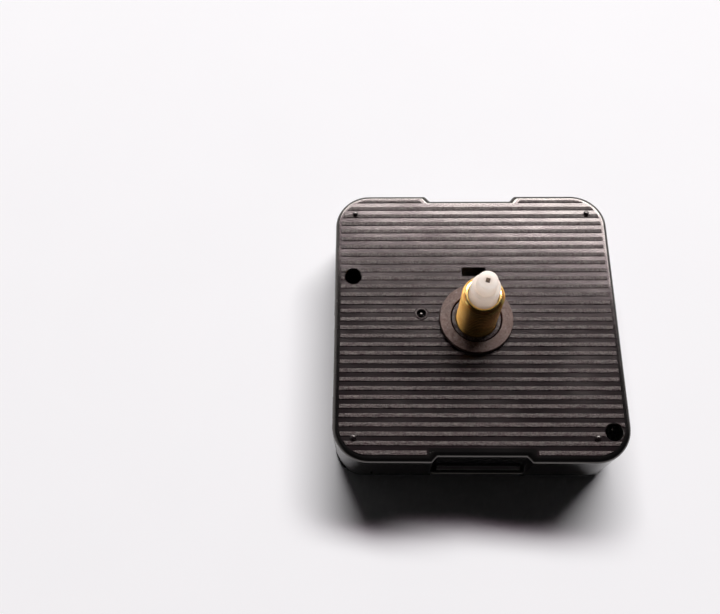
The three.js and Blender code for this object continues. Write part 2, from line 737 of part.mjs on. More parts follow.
// Threaded bush, with a true helical thread round the outside.
function threadedRod(low, high) {
  const steps = threadSegments;
  const turns = Math.ceil((high - low) / threadPitch) + 3;
  const total = turns * steps;
  const rootRadius = bushRadius - threadDepth;
  const start = low - threadPitch;
  const positions = [];
  for (let i = 0; i <= total; i += 1) {
    const angle = 2 * Math.PI * i / steps;
    const height = start + threadPitch * i / steps;
    const [x, y] = [Math.cos(angle), Math.sin(angle)];
    positions.push(bushRadius * x, bushRadius * y, height);
    positions.push(rootRadius * x, rootRadius * y, height + threadPitch / 2);
  }
  const crest = (i) => 2 * i;
  const root = (i) => 2 * i + 1;
  const triangles = [];
  for (let i = 0; i < total; i += 1) {
    triangles.push(crest(i), crest(i + 1), root(i + 1), crest(i), root(i + 1), root(i));
    if (i + steps < total) {
      const above = i + steps;
      triangles.push(root(i), root(i + 1), crest(above + 1), root(i), crest(above + 1), crest(above));
    }
  }
  const bottomCentre = positions.length / 3;
  positions.push(0, 0, start);
  const topCentre = positions.length / 3;
  positions.push(0, 0, start + threadPitch * turns);
  for (let i = 0; i < steps; i += 1) {
    triangles.push(bottomCentre, crest(i + 1), crest(i));
    const last = total - steps + i;
    triangles.push(topCentre, root(last), root(last + 1));
  }
  triangles.push(bottomCentre, root(0), crest(steps), bottomCentre, crest(0), root(0));
  triangles.push(topCentre, crest(total), root(total - steps), topCentre, root(total), crest(total));
  const rod = new wasm.Manifold(new wasm.Mesh({
    numProp: 3,
    vertProperties: new Float32Array(positions),
    triVerts: new Uint32Array(triangles),
  }));
  const blank = turned([
    [0, low],
    [bushRadius + runningClearance, low],
    [bushRadius + runningClearance, high - bushChamfer],
    [bushRadius - bushChamfer, high],
    [0, high],
  ], shaftAxis, fineSegments);
  return rod.intersect(blank);
}

function threadedBush() {
  const top = faceLevel + bushHeight;
  const flangeLow = innerFaceLevel - bushFlangeThickness;
  const bore = hourTubeRadius + runningClearance;
  return cut(
    join(
      threadedRod(faceLevel, top),
      disc(shaftAxis, bushRadius, flangeLow, faceLevel, fineSegments),
      disc(shaftAxis, bushFlangeRadius, flangeLow, innerFaceLevel, fineSegments),
    ),
    disc(shaftAxis, bore, flangeLow - wall, top + wall, fineSegments),
  );
}

function rubberWasher() {
  const top = faceLevel + washerThickness;
  return cut(
    disc(shaftAxis, washerRadius, faceLevel, top, fineSegments),
    disc(shaftAxis, washerHoleRadius, faceLevel - wall, top + wall, fineSegments),
  );
}

// Motion work

const motionAngle = 0;
const backToShaft = motionDegrees + halfTurnDegrees;
const minutePinionAngle = meshedAngle(motionWheelTeeth, motionAngle, backToShaft, minutePinionTeeth);
const hourWheelAngle = meshedAngle(motionPinionTeeth, motionAngle, backToShaft, hourWheelTeeth);
const knobPinionAngle = meshedAngle(motionWheelTeeth, motionAngle, knobDegrees, knobPinionTeeth);

function hourWheel() {
  const top = hourWheelLevel + hourWheelThickness;
  const tubeTop = faceLevel + hourTubeHeight;
  const bore = minuteTubeRadius + runningClearance;
  return cut(
    join(
      gear(
        hourWheelTeeth, motionModule, wheelToothShares, shaftAxis, hourWheelAngle, hourWheelLevel, top,
      ),
      disc(shaftAxis, hourTubeRadius, hourWheelLevel, tubeTop),
    ),
    disc(shaftAxis, bore, hourWheelLevel - wall, tubeTop + wall),
  );
}

function minuteArbor() {
  const top = faceLevel + minuteTubeHeight;
  const pinionTop = minutePinionLevel + minutePinionHeight;
  const low = minutePinionLevel;
  return cut(
    join(
      gear(
        minutePinionTeeth, motionModule, pinionToothShares, shaftAxis, minutePinionAngle, low, pinionTop,
      ),
      disc(shaftAxis, minuteTubeRadius, pinionTop - runningClearance, top),
      disc(shaftAxis, minuteJournalRadius, journalLevel, low + runningClearance),
      disc(shaftAxis, minuteSpigotRadius, spigotEndLevel, pinionTop),
    ),
    disc(shaftAxis, secondsArborRadius + runningClearance, 0, top + wall, pinSegments),
  );
}

function motionWheel() {
  const wheelTop = motionWheelLevel + motionWheelThickness;
  const top = wheelTop + motionPinionHeight;
  const wheel = gear(
    motionWheelTeeth, motionModule, wheelToothShares, motionAxis, motionAngle, motionWheelLevel, wheelTop,
  );
  const pinion = gear(
    motionPinionTeeth, motionModule, pinionToothShares, motionAxis, motionAngle, motionWheelLevel, top,
  );
  const bore = studRadius + runningClearance;
  return cut(join(wheel, pinion), disc(motionAxis, bore, 0, faceLevel, pinSegments));
}

// Going train

const rotorPinionAngle = 0;
const middleWheelAngle = meshedAngle(
  rotorPinionTeeth, rotorPinionAngle, rotorDegrees + halfTurnDegrees, middleWheelTeeth,
);
const secondsAngle = meshedAngle(
  middlePinionTeeth, middleWheelAngle, middleDegrees + halfTurnDegrees, secondsWheelTeeth,
);
const thirdAngle = meshedAngle(secondsPinionTeeth, secondsAngle, thirdDegrees, thirdWheelTeeth);
const centreAngle = meshedAngle(
  thirdPinionTeeth, thirdAngle, thirdDegrees + halfTurnDegrees, centreWheelTeeth,
);

// A wheel with its pinion above it, a pivot below and, where there is a plate above, one on top.
function wheelAndPinion({ axis, angle, wheel, pinion }) {
  const wheelTop = wheel.level + trainWheelThickness;
  const top = wheelTop + pinion.height;
  const foot = wheel.level - shakeClearance - pivotLength;
  const head = pinion.plateLevel ? pinion.plateLevel + pivotLength : top;
  return join(
    gear(wheel.teeth, wheel.module, wheelToothShares, axis, angle, wheel.level, wheelTop),
    gear(pinion.teeth, pinion.module, pinionToothShares, axis, angle, wheel.level, top),
    disc(axis, pivotRadius, foot, head, pinSegments),
  );
}

function middleWheel() {
  return wheelAndPinion({
    axis: middleAxis,
    angle: middleWheelAngle,
    wheel: { teeth: middleWheelTeeth, module: rotorModule, level: middleWheelLevel },
    pinion: {
      teeth: middlePinionTeeth,
      module: secondsModule,
      height: middlePinionHeight,
      plateLevel: bridgeLevel,
    },
  });
}

function thirdWheel() {
  return wheelAndPinion({
    axis: thirdAxis,
    angle: thirdAngle,
    wheel: { teeth: thirdWheelTeeth, module: thirdModule, level: thirdWheelLevel },
    pinion: {
      teeth: thirdPinionTeeth,
      module: centreModule,
      height: thirdPinionHeight,
      plateLevel: middlePlateLevel,
    },
  });
}

// The seconds wheel carries the long arbor that ends in a socket for the seconds hand.
function secondsWheel() {
  const top = faceLevel + minuteTubeHeight - secondsArborSink;
  const pinionTop = secondsWheelLevel + trainWheelThickness + secondsPinionHeight;
  const wheel = wheelAndPinion({
    axis: shaftAxis,
    angle: secondsAngle,
    wheel: { teeth: secondsWheelTeeth, module: secondsModule, level: secondsWheelLevel },
    pinion: { teeth: secondsPinionTeeth, module: thirdModule, height: secondsPinionHeight },
  });
  const socket = block(
    [-socketWidth / 2, socketWidth / 2],
    [-socketLength / 2, socketLength / 2],
    [top - socketDepth, top + wall],
  );
  const arbor = disc(shaftAxis, secondsArborRadius, pinionTop - runningClearance, top, pinSegments);
  return cut(join(wheel, arbor), socket);
}

function centreWheel() {
  const top = centreWheelLevel + centreWheelThickness;
  const teeth = gear(
    centreWheelTeeth, centreModule, wheelToothShares, shaftAxis, centreAngle, centreWheelLevel, top,
  );
  return cut(teeth, disc(shaftAxis, minuteSpigotRadius + runningClearance, 0, faceLevel));
}

// A three-armed spring washer on the minute arbor's spigot, pressing on the centre wheel.
function clutchSpring() {
  const high = centreWheelLevel - clutchGap;
  const low = high - clutchThickness;
  const arms = [];
  for (let i = 0; i < clutchArmCount; i += 1) {
    const arm = block([0, clutchArmLength], [-clutchArmWidth / 2, clutchArmWidth / 2], [low, high]);
    arms.push(arm.rotate([0, 0, 360 * i / clutchArmCount]));
  }
  const ring = disc(shaftAxis, clutchRingRadius, low, high);
  const bore = disc(shaftAxis, minuteSpigotRadius + clutchGap, low - wall, high + wall);
  return cut(join(ring, arms), bore);
}

// Motor: the rotor's pinion and magnet, the stator and the coil.

function rotorPinion() {
  const pinionTop = rotorPinionLevel + rotorPinionHeight;
  const foot = rotorMagnetLevel - shakeClearance - pivotLength;
  return join(
    gear(
      rotorPinionTeeth, rotorModule, pinionToothShares, rotorAxis, rotorPinionAngle,
      rotorPinionLevel, pinionTop,
    ),
    disc(rotorAxis, arborRadius, rotorMagnetLevel, rotorPinionLevel, pinSegments),
    disc(rotorAxis, pivotRadius, foot, bridgeLevel + pivotLength, pinSegments),
  );
}

function rotorMagnet() {
  const top = rotorMagnetLevel + rotorMagnetHeight;
  const bore = disc(rotorAxis, arborRadius + clutchGap, 0, faceLevel, pinSegments);
  return cut(disc(rotorAxis, magnetRadius, rotorMagnetLevel, top), bore);
}

function stator() {
  const [low, high] = [ridgeLevel, coreLevel];
  const [left, right] = statorLegPlaces;
  const half = statorLegWidth / 2;
  const legEnd = coilPlace - coilCoreWidth / 2 - runningClearance;
  return cut(
    join(
      block([left - half, left + half], [legEnd, statorYokeTop], [low, high]),
      block([right - half, right + half], [legEnd, statorYokeTop], [low, high]),
      block([left - half, right + half], [statorYokeBottom, statorYokeTop], [low, high]),
      disc(rotorAxis, magnetRadius + airGap + statorRingWidth, low, high),
    ),
    disc(rotorAxis, magnetRadius + airGap, low - wall, high + wall),
  );
}

function coilCore() {
  const [left, right] = statorLegPlaces;
  const across = [coilPlace - coilCoreWidth / 2, coilPlace + coilCoreWidth / 2];
  const levels = [coreLevel, coreLevel + coilCoreThickness];
  return block([left - coilCoreOverhang, right + coilCoreOverhang], across, levels);
}

// A round bar along X on the coil's axis.
function coilDisc(radius, left, right, segments) {
  const cylinder = new THREE.CylinderGeometry(radius, radius, right - left, segments);
  cylinder.rotateZ(Math.PI / 2).translate((left + right) / 2, coilPlace, coilAxisLevel);
  return solidOf(cylinder);
}

const bobbinEnds = [
  statorLegPlaces[0] + statorLegWidth / 2 + restClearance,
  statorLegPlaces[1] - statorLegWidth / 2 - restClearance,
];
const windingEnds = [bobbinEnds[0] + bobbinFlangeThickness, bobbinEnds[1] - bobbinFlangeThickness];

function coilBobbin() {
  const halfWidth = coilCoreWidth / 2 + runningClearance;
  const halfHeight = coilCoreThickness / 2 + runningClearance;
  const bore = block(
    [bobbinEnds[0] - wall, bobbinEnds[1] + wall],
    [coilPlace - halfWidth, coilPlace + halfWidth],
    [coilAxisLevel - halfHeight, coilAxisLevel + halfHeight],
  );
  return cut(
    join(
      coilDisc(bobbinTubeRadius, ...bobbinEnds, pinSegments),
      coilDisc(bobbinFlangeRadius, bobbinEnds[0], windingEnds[0], roundSegments),
      coilDisc(bobbinFlangeRadius, windingEnds[1], bobbinEnds[1], roundSegments),
    ),
    bore,
  );
}

function coilWinding() {
  const inner = bobbinTubeRadius + runningClearance;
  return cut(
    coilDisc(coilRadius, ...windingEnds, roundSegments),
    coilDisc(inner, windingEnds[0] - wall, windingEnds[1] + wall, pinSegments),
  );
}

// Plates

function middlePlate() {
  const [low, high] = [middlePlateLevel, middlePlateTop];
  const left = -bayEnd + middlePlateWallGap;
  const right = boardLeft - middlePlateBoardGap;
  const bottom = bayTop + wall + middlePlateBayGap;
  const back = platePosts[0][1] + platePostRadius + middlePlateMargin;
  const outline = polygon([
    [left, bottom + middlePlateChamfer], [left + middlePlateChamfer, bottom],
    [right - middlePlateChamfer, bottom], [right, bottom + middlePlateChamfer],
    [right, back - middlePlateChamfer], [right - middlePlateChamfer, back],
    [left + middlePlateChamfer, back], [left, back - middlePlateChamfer],
  ]);
  const bores = [
    [shaftAxis, minuteJournalRadius + runningClearance],
    [knobAxis, knobShaftRadius + runningClearance],
    [thirdAxis, pivotRadius + runningClearance],
    [mountHoles[0], screwBossRadius + restClearance],
  ].map(([axis, radius]) => disc(axis, radius, low - wall, high + wall));
  return cut(prism(outline, low, high), bores);
}

function rotorBridge() {
  const [low, high] = [bridgeLevel, bridgeLevel + bridgeThickness];
  const ends = [bridgePosts[0], bridgePosts[1], middleAxis];
  const arms = ends.flatMap((end) => [
    disc(end, bridgeArmWidth / 2, low, high),
    bar(rotorAxis, end, bridgeArmWidth / 2, low, high),
  ]);
  const bores = [rotorAxis, middleAxis].map(
    (axis) => disc(axis, pivotRadius + runningClearance, low - wall, high + wall, pinSegments),
  );
  return cut(join(disc(rotorAxis, bridgeArmWidth / 2, low, high), arms), bores);
}

// Setting knob and its shaft

function settingKnob() {
  const points = [];
  for (let i = 0; i < knobTeeth; i += 1) {
    for (const [share, radius] of [[0, knobRadius], [0.5, knobRadius - knobToothDepth]]) {
      const angle = 2 * Math.PI * (i + share) / knobTeeth;
      points.push([knobAxis[0] + radius * Math.cos(angle), knobAxis[1] + radius * Math.sin(angle)]);
    }
  }
  return cut(
    prism(polygon(points), 0, knobHeight),
    disc(knobAxis, knobRadius - knobRimWidth, -wall, knobRecessDepth),
    disc(knobAxis, knobSpigotRadius + clutchGap, knobSpigotEnd, knobHeight + wall),
  );
}

function settingShaft() {
  const pinionTop = minutePinionLevel + minutePinionHeight;
  return join(
    gear(
      knobPinionTeeth, motionModule, pinionToothShares, knobAxis, knobPinionAngle,
      minutePinionLevel, pinionTop,
    ),
    disc(knobAxis, knobShaftRadius, knobHeight, pinionTop),
    disc(knobAxis, knobSpigotRadius, knobSpigotEnd + clutchGap, pinionTop),
    disc(knobAxis, pivotRadius, minutePinionLevel, knobPivotTop - runningClearance, pinSegments),
  );
}

// Circuit board, chip and crystal

function circuitBoard() {
  const levels = [boardLevel, boardLevel + boardThickness];
  return block([boardLeft, boardRight], [boardBottom, boardTop], levels);
}

function driverChip() {
  const low = boardLevel + boardThickness;
  const points = [[0, low], [chipRadius, low]];
  for (let i = 1; i <= cornerSegments; i += 1) {
    const angle = Math.PI / 2 * i / cornerSegments;
    points.push([chipRadius * Math.cos(angle), low + chipHeight * Math.sin(angle)]);
  }
  points[points.length - 1][0] = 0;
  return turned(points, chipPlace, pinSegments);
}

function quartzCrystal() {
  const boardFace = boardLevel + boardThickness;
  const axisLevel = boardFace + crystalRadius;
  const [x, y] = crystalPlace;
  const can = new THREE.CylinderGeometry(crystalRadius, crystalRadius, crystalLength, roundSegments);
  can.translate(x, y, axisLevel + runningClearance);
  const leadEnd = y - crystalLength / 2 - crystalLeadLength;
  const leads = [-1, 1].flatMap((side) => {
    const leadX = x + side * crystalLeadSpacing / 2;
    const wire = [leadX - crystalLeadRadius, leadX + crystalLeadRadius];
    return [
      block(wire, [leadEnd, y], [axisLevel - crystalLeadRadius, axisLevel + crystalLeadRadius]),
      block(wire, [leadEnd, leadEnd + 2 * crystalLeadRadius], [boardFace, axisLevel]),
    ];
  });
  return join(solidOf(can), leads);
}

// Battery contacts

// The upright plate of one contact at its end of the battery bay.
function contactPlate(side, tailEnd) {
  const across = [side * (bayEnd - contactThickness), side * bayEnd].sort((a, b) => a - b);
  return join(
    block(across, [contactBottom, contactTop], [contactLow, contactHigh]),
    block(across, [contactTop - contactThickness, tailEnd], [contactTailLow, contactTailHigh]),
  );
}

function positiveContact() {
  const button = new THREE.CylinderGeometry(
    contactButtonRadius, contactButtonRadius, 2 * contactButtonHeight, roundSegments,
  );
  const face = bayEnd - contactThickness;
  const height = (contactLow + contactHigh) / 2;
  button.rotateZ(Math.PI / 2).translate(face, bayMiddle, height);
  return join(contactPlate(1, boardBottom + positiveTailLength), solidOf(button));
}

// The negative contact has a bowed leaf in the bay and a long strip to the circuit board.
function negativeContact() {
  const face = -bayEnd + contactThickness;
  const middle = (contactLow + contactHigh) / 2;
  const bow = (offset, steps) => Array.from({ length: steps + 1 }, (_, i) => {
    const share = i / steps;
    const y = contactBottom + share * (contactTop - contactBottom);
    return [face - contactThickness / 2 + offset + springBulge * Math.sin(Math.PI * share), y];
  });
  const outline = [...bow(springLeafThickness, fineSegments / 3), ...bow(0, fineSegments / 3).reverse()];
  const leaf = prism(polygon(outline), middle - springWidth / 2, middle + springWidth / 2);
  const strip = block(
    [-bayEnd, boardLeft + negativeTailLength],
    [contactStripPlace - contactThickness / 2, contactStripPlace + contactThickness / 2],
    [contactTailLow, contactTailHigh],
  );
  return join(contactPlate(-1, contactStripPlace), leaf, strip);
}

place('front_case', frontCase(), materials.caseBlack);
place('rear_cover', rearCover(), materials.coverBlack);
place('threaded_bush', threadedBush(), materials.brass);
place('rubber_washer', rubberWasher(), materials.rubber);
place('hour_wheel', hourWheel(), materials.whitePlastic);
place('minute_arbor', minuteArbor(), materials.whitePlastic);
place('motion_wheel', motionWheel(), materials.gearPlastic);
place('centre_wheel', centreWheel(), materials.gearPlastic);
place('clutch_spring', clutchSpring(), materials.steel);
place('seconds_wheel', secondsWheel(), materials.whitePlastic);
place('third_wheel', thirdWheel(), materials.gearPlastic);
place('middle_wheel', middleWheel(), materials.gearPlastic);
place('rotor_pinion', rotorPinion(), materials.gearPlastic);
place('rotor_magnet', rotorMagnet(), materials.magnet);
place('setting_knob', settingKnob(), materials.knobBlack);
place('setting_shaft', settingShaft(), materials.gearPlastic);
place('middle_plate', middlePlate(), materials.gearPlastic);
place('rotor_bridge', rotorBridge(), materials.gearPlastic);
place('stator', stator(), materials.steel);
place('coil_core', coilCore(), materials.steel);
place('coil_bobbin', coilBobbin(), materials.whitePlastic);
place('coil_winding', coilWinding(), materials.copper);
place('circuit_board', circuitBoard(), materials.board);
place('driver_chip', driverChip(), materials.blackResin);
place('quartz_crystal', quartzCrystal(), materials.nickel);
place('positive_contact', positiveContact(), materials.nickel);
place('negative_contact', negativeContact(), materials.nickel);

export default group;
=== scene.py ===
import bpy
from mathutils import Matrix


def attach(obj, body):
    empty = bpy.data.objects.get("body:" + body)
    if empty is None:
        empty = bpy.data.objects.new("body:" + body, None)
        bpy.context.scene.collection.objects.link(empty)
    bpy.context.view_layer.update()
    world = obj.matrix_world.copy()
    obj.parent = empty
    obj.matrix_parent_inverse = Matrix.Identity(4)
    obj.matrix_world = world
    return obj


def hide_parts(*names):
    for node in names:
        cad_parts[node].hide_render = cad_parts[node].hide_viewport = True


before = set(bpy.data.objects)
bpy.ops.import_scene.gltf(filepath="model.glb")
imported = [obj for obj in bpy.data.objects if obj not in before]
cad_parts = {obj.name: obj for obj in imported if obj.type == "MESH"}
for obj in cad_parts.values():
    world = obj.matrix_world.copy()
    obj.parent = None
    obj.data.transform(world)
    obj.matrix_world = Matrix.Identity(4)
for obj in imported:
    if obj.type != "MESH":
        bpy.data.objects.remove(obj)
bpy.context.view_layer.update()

import math

import bmesh
import bpy
from mathutils import Matrix, Vector

# Front case: one moulding of black styrene, with a ribbed face, a rounded rim and straight walls,
# hollow behind. Its latches snap over the rear cover. Meshes are drawn in millimetres, joined and
# cut as solids, and brought to metres when they are finished.
MILLIMETRE = 0.001

case_half_width, case_half_height = 28.0, 28.25
face_level, parting_level, inner_face_level = 16.3, 5.4, 15.1
corner_radius, rim_rounding = 7.0, 0.85
notch_half_width, notch_run, notch_depth = 9.52, 1.4, 1.15
wall, thin_wall, bite = 1.2, 0.5, 0.5
corner_steps, notch_steps, rim_steps = 14, 10, 6


def polar(radius, angle, centre=(0, 0)):
    return centre[0] + radius * math.cos(angle), centre[1] + radius * math.sin(angle)


def arc(centre, radius, start, end, steps):
    """Points on an arc between two angles in degrees."""
    return [polar(radius, math.radians(start + (end - start) * i / steps), centre)
            for i in range(steps + 1)]


def case_outline(inset):
    """Points round the case, anticlockwise, moved inwards by an inset. Half a turn repeats them."""
    half_width = case_half_width - inset
    half_height = case_half_height - inset
    radius = corner_radius - inset
    notch_end = notch_half_width + inset
    notch_start = notch_end - notch_run
    sunk = half_height - notch_depth

    def step(x0, y0, x1, y1):
        shares = [i / notch_steps for i in range(notch_steps + 1)]
        return [(x0 + (x1 - x0) * t, y0 + (y1 - y0) * (t * t * (3 - 2 * t))) for t in shares]

    points = [*step(-notch_end, -half_height, -notch_start, -sunk),
              *step(notch_start, -sunk, notch_end, -half_height),
              *arc((half_width - radius, radius - half_height), radius, -90, 0, corner_steps),
              *arc((half_width - radius, half_height - radius), radius, 0, 90, corner_steps)]
    return points + [(-x, -y) for x, y in points]


def solid(name, points, faces):
    mesh = bpy.data.meshes.new(name)
    mesh.from_pydata([tuple(p) for p in points], [], faces)
    mesh.update()
    made = bpy.data.objects.new(name, mesh)
    bpy.context.scene.collection.objects.link(made)
    return made


def loft(name, rings):
    """A closed solid through rings of points that run anticlockwise seen from the last ring."""
    count = len(rings[0])
    points = [p for ring in rings for p in ring]
    faces = [tuple(reversed(range(count)))]
    for k in range(len(rings) - 1):
        low, high = k * count, (k + 1) * count
        for i in range(count):
            j = (i + 1) % count
            faces.append((low + i, low + j, high + j, high + i))
    faces.append(tuple(range((len(rings) - 1) * count, len(rings) * count)))
    return solid(name, points, faces)


def outline_solid(name, levels):
    """The case outline lofted through (inset, level) pairs."""
    return loft(name, [[(x, y, z) for x, y in case_outline(inset)] for inset, z in levels])


def span(half, middle=0.0):
    """Both ends of a length, from its half and its middle."""
    return middle - half, middle + half


def block(name, across, along, levels, edge=0.0, steps=4):
    """A box. With an edge, its upright corners are rounded by that radius."""
    (x0, x1), (y0, y1), (z0, z1) = across, along, levels
    if edge:
        ring = [*arc((x1 - edge, y0 + edge), edge, -90, 0, steps),
                *arc((x1 - edge, y1 - edge), edge, 0, 90, steps),
                *arc((x0 + edge, y1 - edge), edge, 90, 180, steps),
                *arc((x0 + edge, y0 + edge), edge, 180, 270, steps)]
    else:
        ring = [(x0, y0), (x1, y0), (x1, y1), (x0, y1)]
    return loft(name, [[(x, y, z0) for x, y in ring], [(x, y, z1) for x, y in ring]])


def turned(name, profile, centre=(0, 0), segments=48, peak=None):
    """A solid turned round an upright axis through (radius, level) pairs that run upwards."""
    points, faces = [(*centre, profile[0][1])], []
    for radius, level in profile:
        points += [(*polar(radius, 2 * math.pi * i / segments, centre), level) for i in range(segments)]
    points.append((*centre, profile[-1][1] if peak is None else peak))
    rings = range(1, len(points) - 1, segments)
    for i in range(segments):
        j = (i + 1) % segments
        faces.append((0, rings[0] + j, rings[0] + i))
        for low, high in zip(rings, rings[1:]):
            faces.append((low + i, low + j, high + j, high + i))
        faces.append((rings[-1] + i, rings[-1] + j, len(points) - 1))
    return solid(name, points, faces)


def rod(name, centre, radius, low, high, segments=32, flare=0.0):
    """An upright round bar. With a flare it opens out above, to cut a hole with a broken edge."""
    profile = [(radius, low), (radius, high)]
    if flare:
        beyond = high + 2.0
        profile += [(radius + flare, high + flare), (radius + flare, beyond)]
    return turned(name, profile, centre, segments)


def combine(base, tools, operation):
    """Joins a solid to others, cuts it by them or keeps what they share, and uses them up."""
    for tool in tools:
        change = base.modifiers.new("combine", "BOOLEAN")
        change.operation, change.object, change.solver = operation, tool, "MANIFOLD"
        held = bpy.context.evaluated_depsgraph_get()
        mesh = bpy.data.meshes.new_from_object(base.evaluated_get(held))
        base.modifiers.clear()
        base.data = mesh
        bpy.data.objects.remove(tool)
    return base


def join(base, *tools):
    return combine(base, tools, "UNION")


def cut(base, *tools):
    return combine(base, tools, "DIFFERENCE")


def keep(base, *tools):
    return combine(base, tools, "INTERSECT")


crease_angle = math.radians(32)


def finished(piece, name, body, node, look):
    """Brings a piece to metres, shades it and says what it stands for."""
    work = bmesh.new()
    work.from_mesh(piece.data)
    bmesh.ops.scale(work, vec=(MILLIMETRE,) * 3, verts=work.verts)
    work.to_mesh(piece.data)
    work.free()
    piece.name = name
    piece.data.name = name
    piece.data.materials.clear()
    piece.data.materials.append(look)
    for face in piece.data.polygons:
        face.use_smooth = True
    piece.data.set_sharp_from_angle(angle=crease_angle)
    weigh = piece.modifiers.new("weighted", "WEIGHTED_NORMAL")
    weigh.keep_sharp = True
    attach(piece, body)
    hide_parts(node)


def graph(name):
    look = bpy.data.materials.new(name)
    look.use_nodes = True
    tree = look.node_tree
    return look, tree, tree.nodes["Principled BSDF"], tree.nodes.new("ShaderNodeTexCoord")


def feed(tree, socket, value):
    """Sets a socket to a number or a colour, or links another socket to it."""
    if isinstance(value, bpy.types.NodeSocket):
        tree.links.new(value, socket)
    else:
        socket.default_value = (*value, 1) if isinstance(value, tuple) else value


def shaded(tree, shader, values):
    """Feeds the shader's own sockets, by name."""
    for name, value in values.items():
        feed(tree, shader.inputs[name], value)


def noise(tree, place, scale, detail=3.0, roughness=0.5, stretch=(1, 1, 1)):
    mapping = tree.nodes.new("ShaderNodeMapping")
    mapping.inputs["Scale"].default_value = stretch
    tree.links.new(place.outputs["Object"], mapping.inputs["Vector"])
    texture = tree.nodes.new("ShaderNodeTexNoise")
    texture.inputs["Scale"].default_value = scale
    texture.inputs["Detail"].default_value = detail
    texture.inputs["Roughness"].default_value = roughness
    tree.links.new(mapping.outputs["Vector"], texture.inputs["Vector"])
    return texture.outputs["Fac"]


def ranged(tree, value, low, high, start=0.0, end=1.0):
    """Goes from low to high while a value goes from start to end, and stays level outside them."""
    change = tree.nodes.new("ShaderNodeMapRange")
    for name, number in (("From Min", start), ("From Max", end), ("To Min", low), ("To Max", high)):
        change.inputs[name].default_value = number
    tree.links.new(value, change.inputs["Value"])
    return change.outputs["Result"]


def mixed(tree, factor, first, second):
    mix = tree.nodes.new("ShaderNodeMix")
    mix.data_type = "RGBA"
    for name, value in (("Factor", factor), ("A", first), ("B", second)):
        feed(tree, mix.inputs[name], value)
    return mix.outputs["Result"]


def raised(tree, shader, height, distance, strength=1.0, under=None):
    """Relief of a height in metres on the surface, over another relief if there is one."""
    bump = tree.nodes.new("ShaderNodeBump")
    bump.inputs["Strength"].default_value = strength
    bump.inputs["Distance"].default_value = distance
    tree.links.new(height, bump.inputs["Height"])
    if under is not None:
        tree.links.new(under, bump.inputs["Normal"])
    tree.links.new(bump.outputs["Normal"], shader.inputs["Normal"])
    return bump.outputs["Normal"]


def worn_edge(tree):
    """1 on sharp outer edges, which handling has rubbed, and 0 elsewhere."""
    geometry = tree.nodes.new("ShaderNodeNewGeometry")
    return ranged(tree, geometry.outputs["Pointiness"], 0.0, 1.0, 0.55, 0.67)


def figured(tree, operation, *values):
    """A sum, product or other figure of numbers and sockets."""
    node = tree.nodes.new("ShaderNodeMath")
    node.operation = operation
    for socket, value in zip(node.inputs, values):
        feed(tree, socket, value)
    return node.outputs[0]


def between(tree, value, levels, soft=0.05):
    """1 where a length lies between two levels in millimetres, fading out over a soft edge."""
    low, high = levels
    rise = ranged(tree, value, 0.0, 1.0, (low - soft) * MILLIMETRE, low * MILLIMETRE)
    fall = ranged(tree, value, 1.0, 0.0, high * MILLIMETRE, (high + soft) * MILLIMETRE)
    return figured(tree, "MULTIPLY", rise, fall)


def lengths(tree, place):
    """A point's lengths across, along and above the face, in metres."""
    apart = tree.nodes.new("ShaderNodeSeparateXYZ")
    tree.links.new(place.outputs["Object"], apart.inputs[0])
    return apart.outputs


def distance(tree, across, along):
    squares = [figured(tree, "MULTIPLY", length, length) for length in (across, along)]
    return figured(tree, "SQRT", figured(tree, "ADD", *squares))


def mottled(tree, place, colour, edge_colour, dust):
    """A dark plastic's colour: cloudy, rubbed paler along its edges, with a few specks of dust."""
    patches = noise(tree, place, 90, 4)
    tint = mixed(tree, ranged(tree, patches, 0, 1, 0.35, 0.65),
                 tuple(c * 0.8 for c in colour), tuple(c * 1.2 for c in colour))
    tint = mixed(tree, worn_edge(tree), tint, edge_colour)
    specks = noise(tree, place, 1500, 1, 0.4)
    return patches, mixed(tree, ranged(tree, specks, 0, dust, 0.76, 0.8), tint, (0.4, 0.38, 0.36))


def inside_case(tree, across, along, inset):
    """1 at points of the face that lie deeper inside the case's outline than an inset."""
    radius = corner_radius - inset
    reaches = []
    for length, half in ((across, case_half_width), (along, case_half_height)):
        beyond = figured(tree, "SUBTRACT", figured(tree, "ABSOLUTE", length),
                         (half - inset - radius) * MILLIMETRE)
        reaches.append(figured(tree, "MAXIMUM", beyond, 0.0))
    return ranged(tree, distance(tree, *reaches), 1.0, 0.0,
                  (radius - 0.1) * MILLIMETRE, radius * MILLIMETRE)


textured_inset, textured_levels = 1.15, (16.25, 17.3)
rib_top_levels, collar_top_levels = (16.4, 16.6), (17.12, 17.3)
smooth_notch, panel_floor = ((-1.0, 9.95), (25.6, 30.0)), (27.35, 27.7)


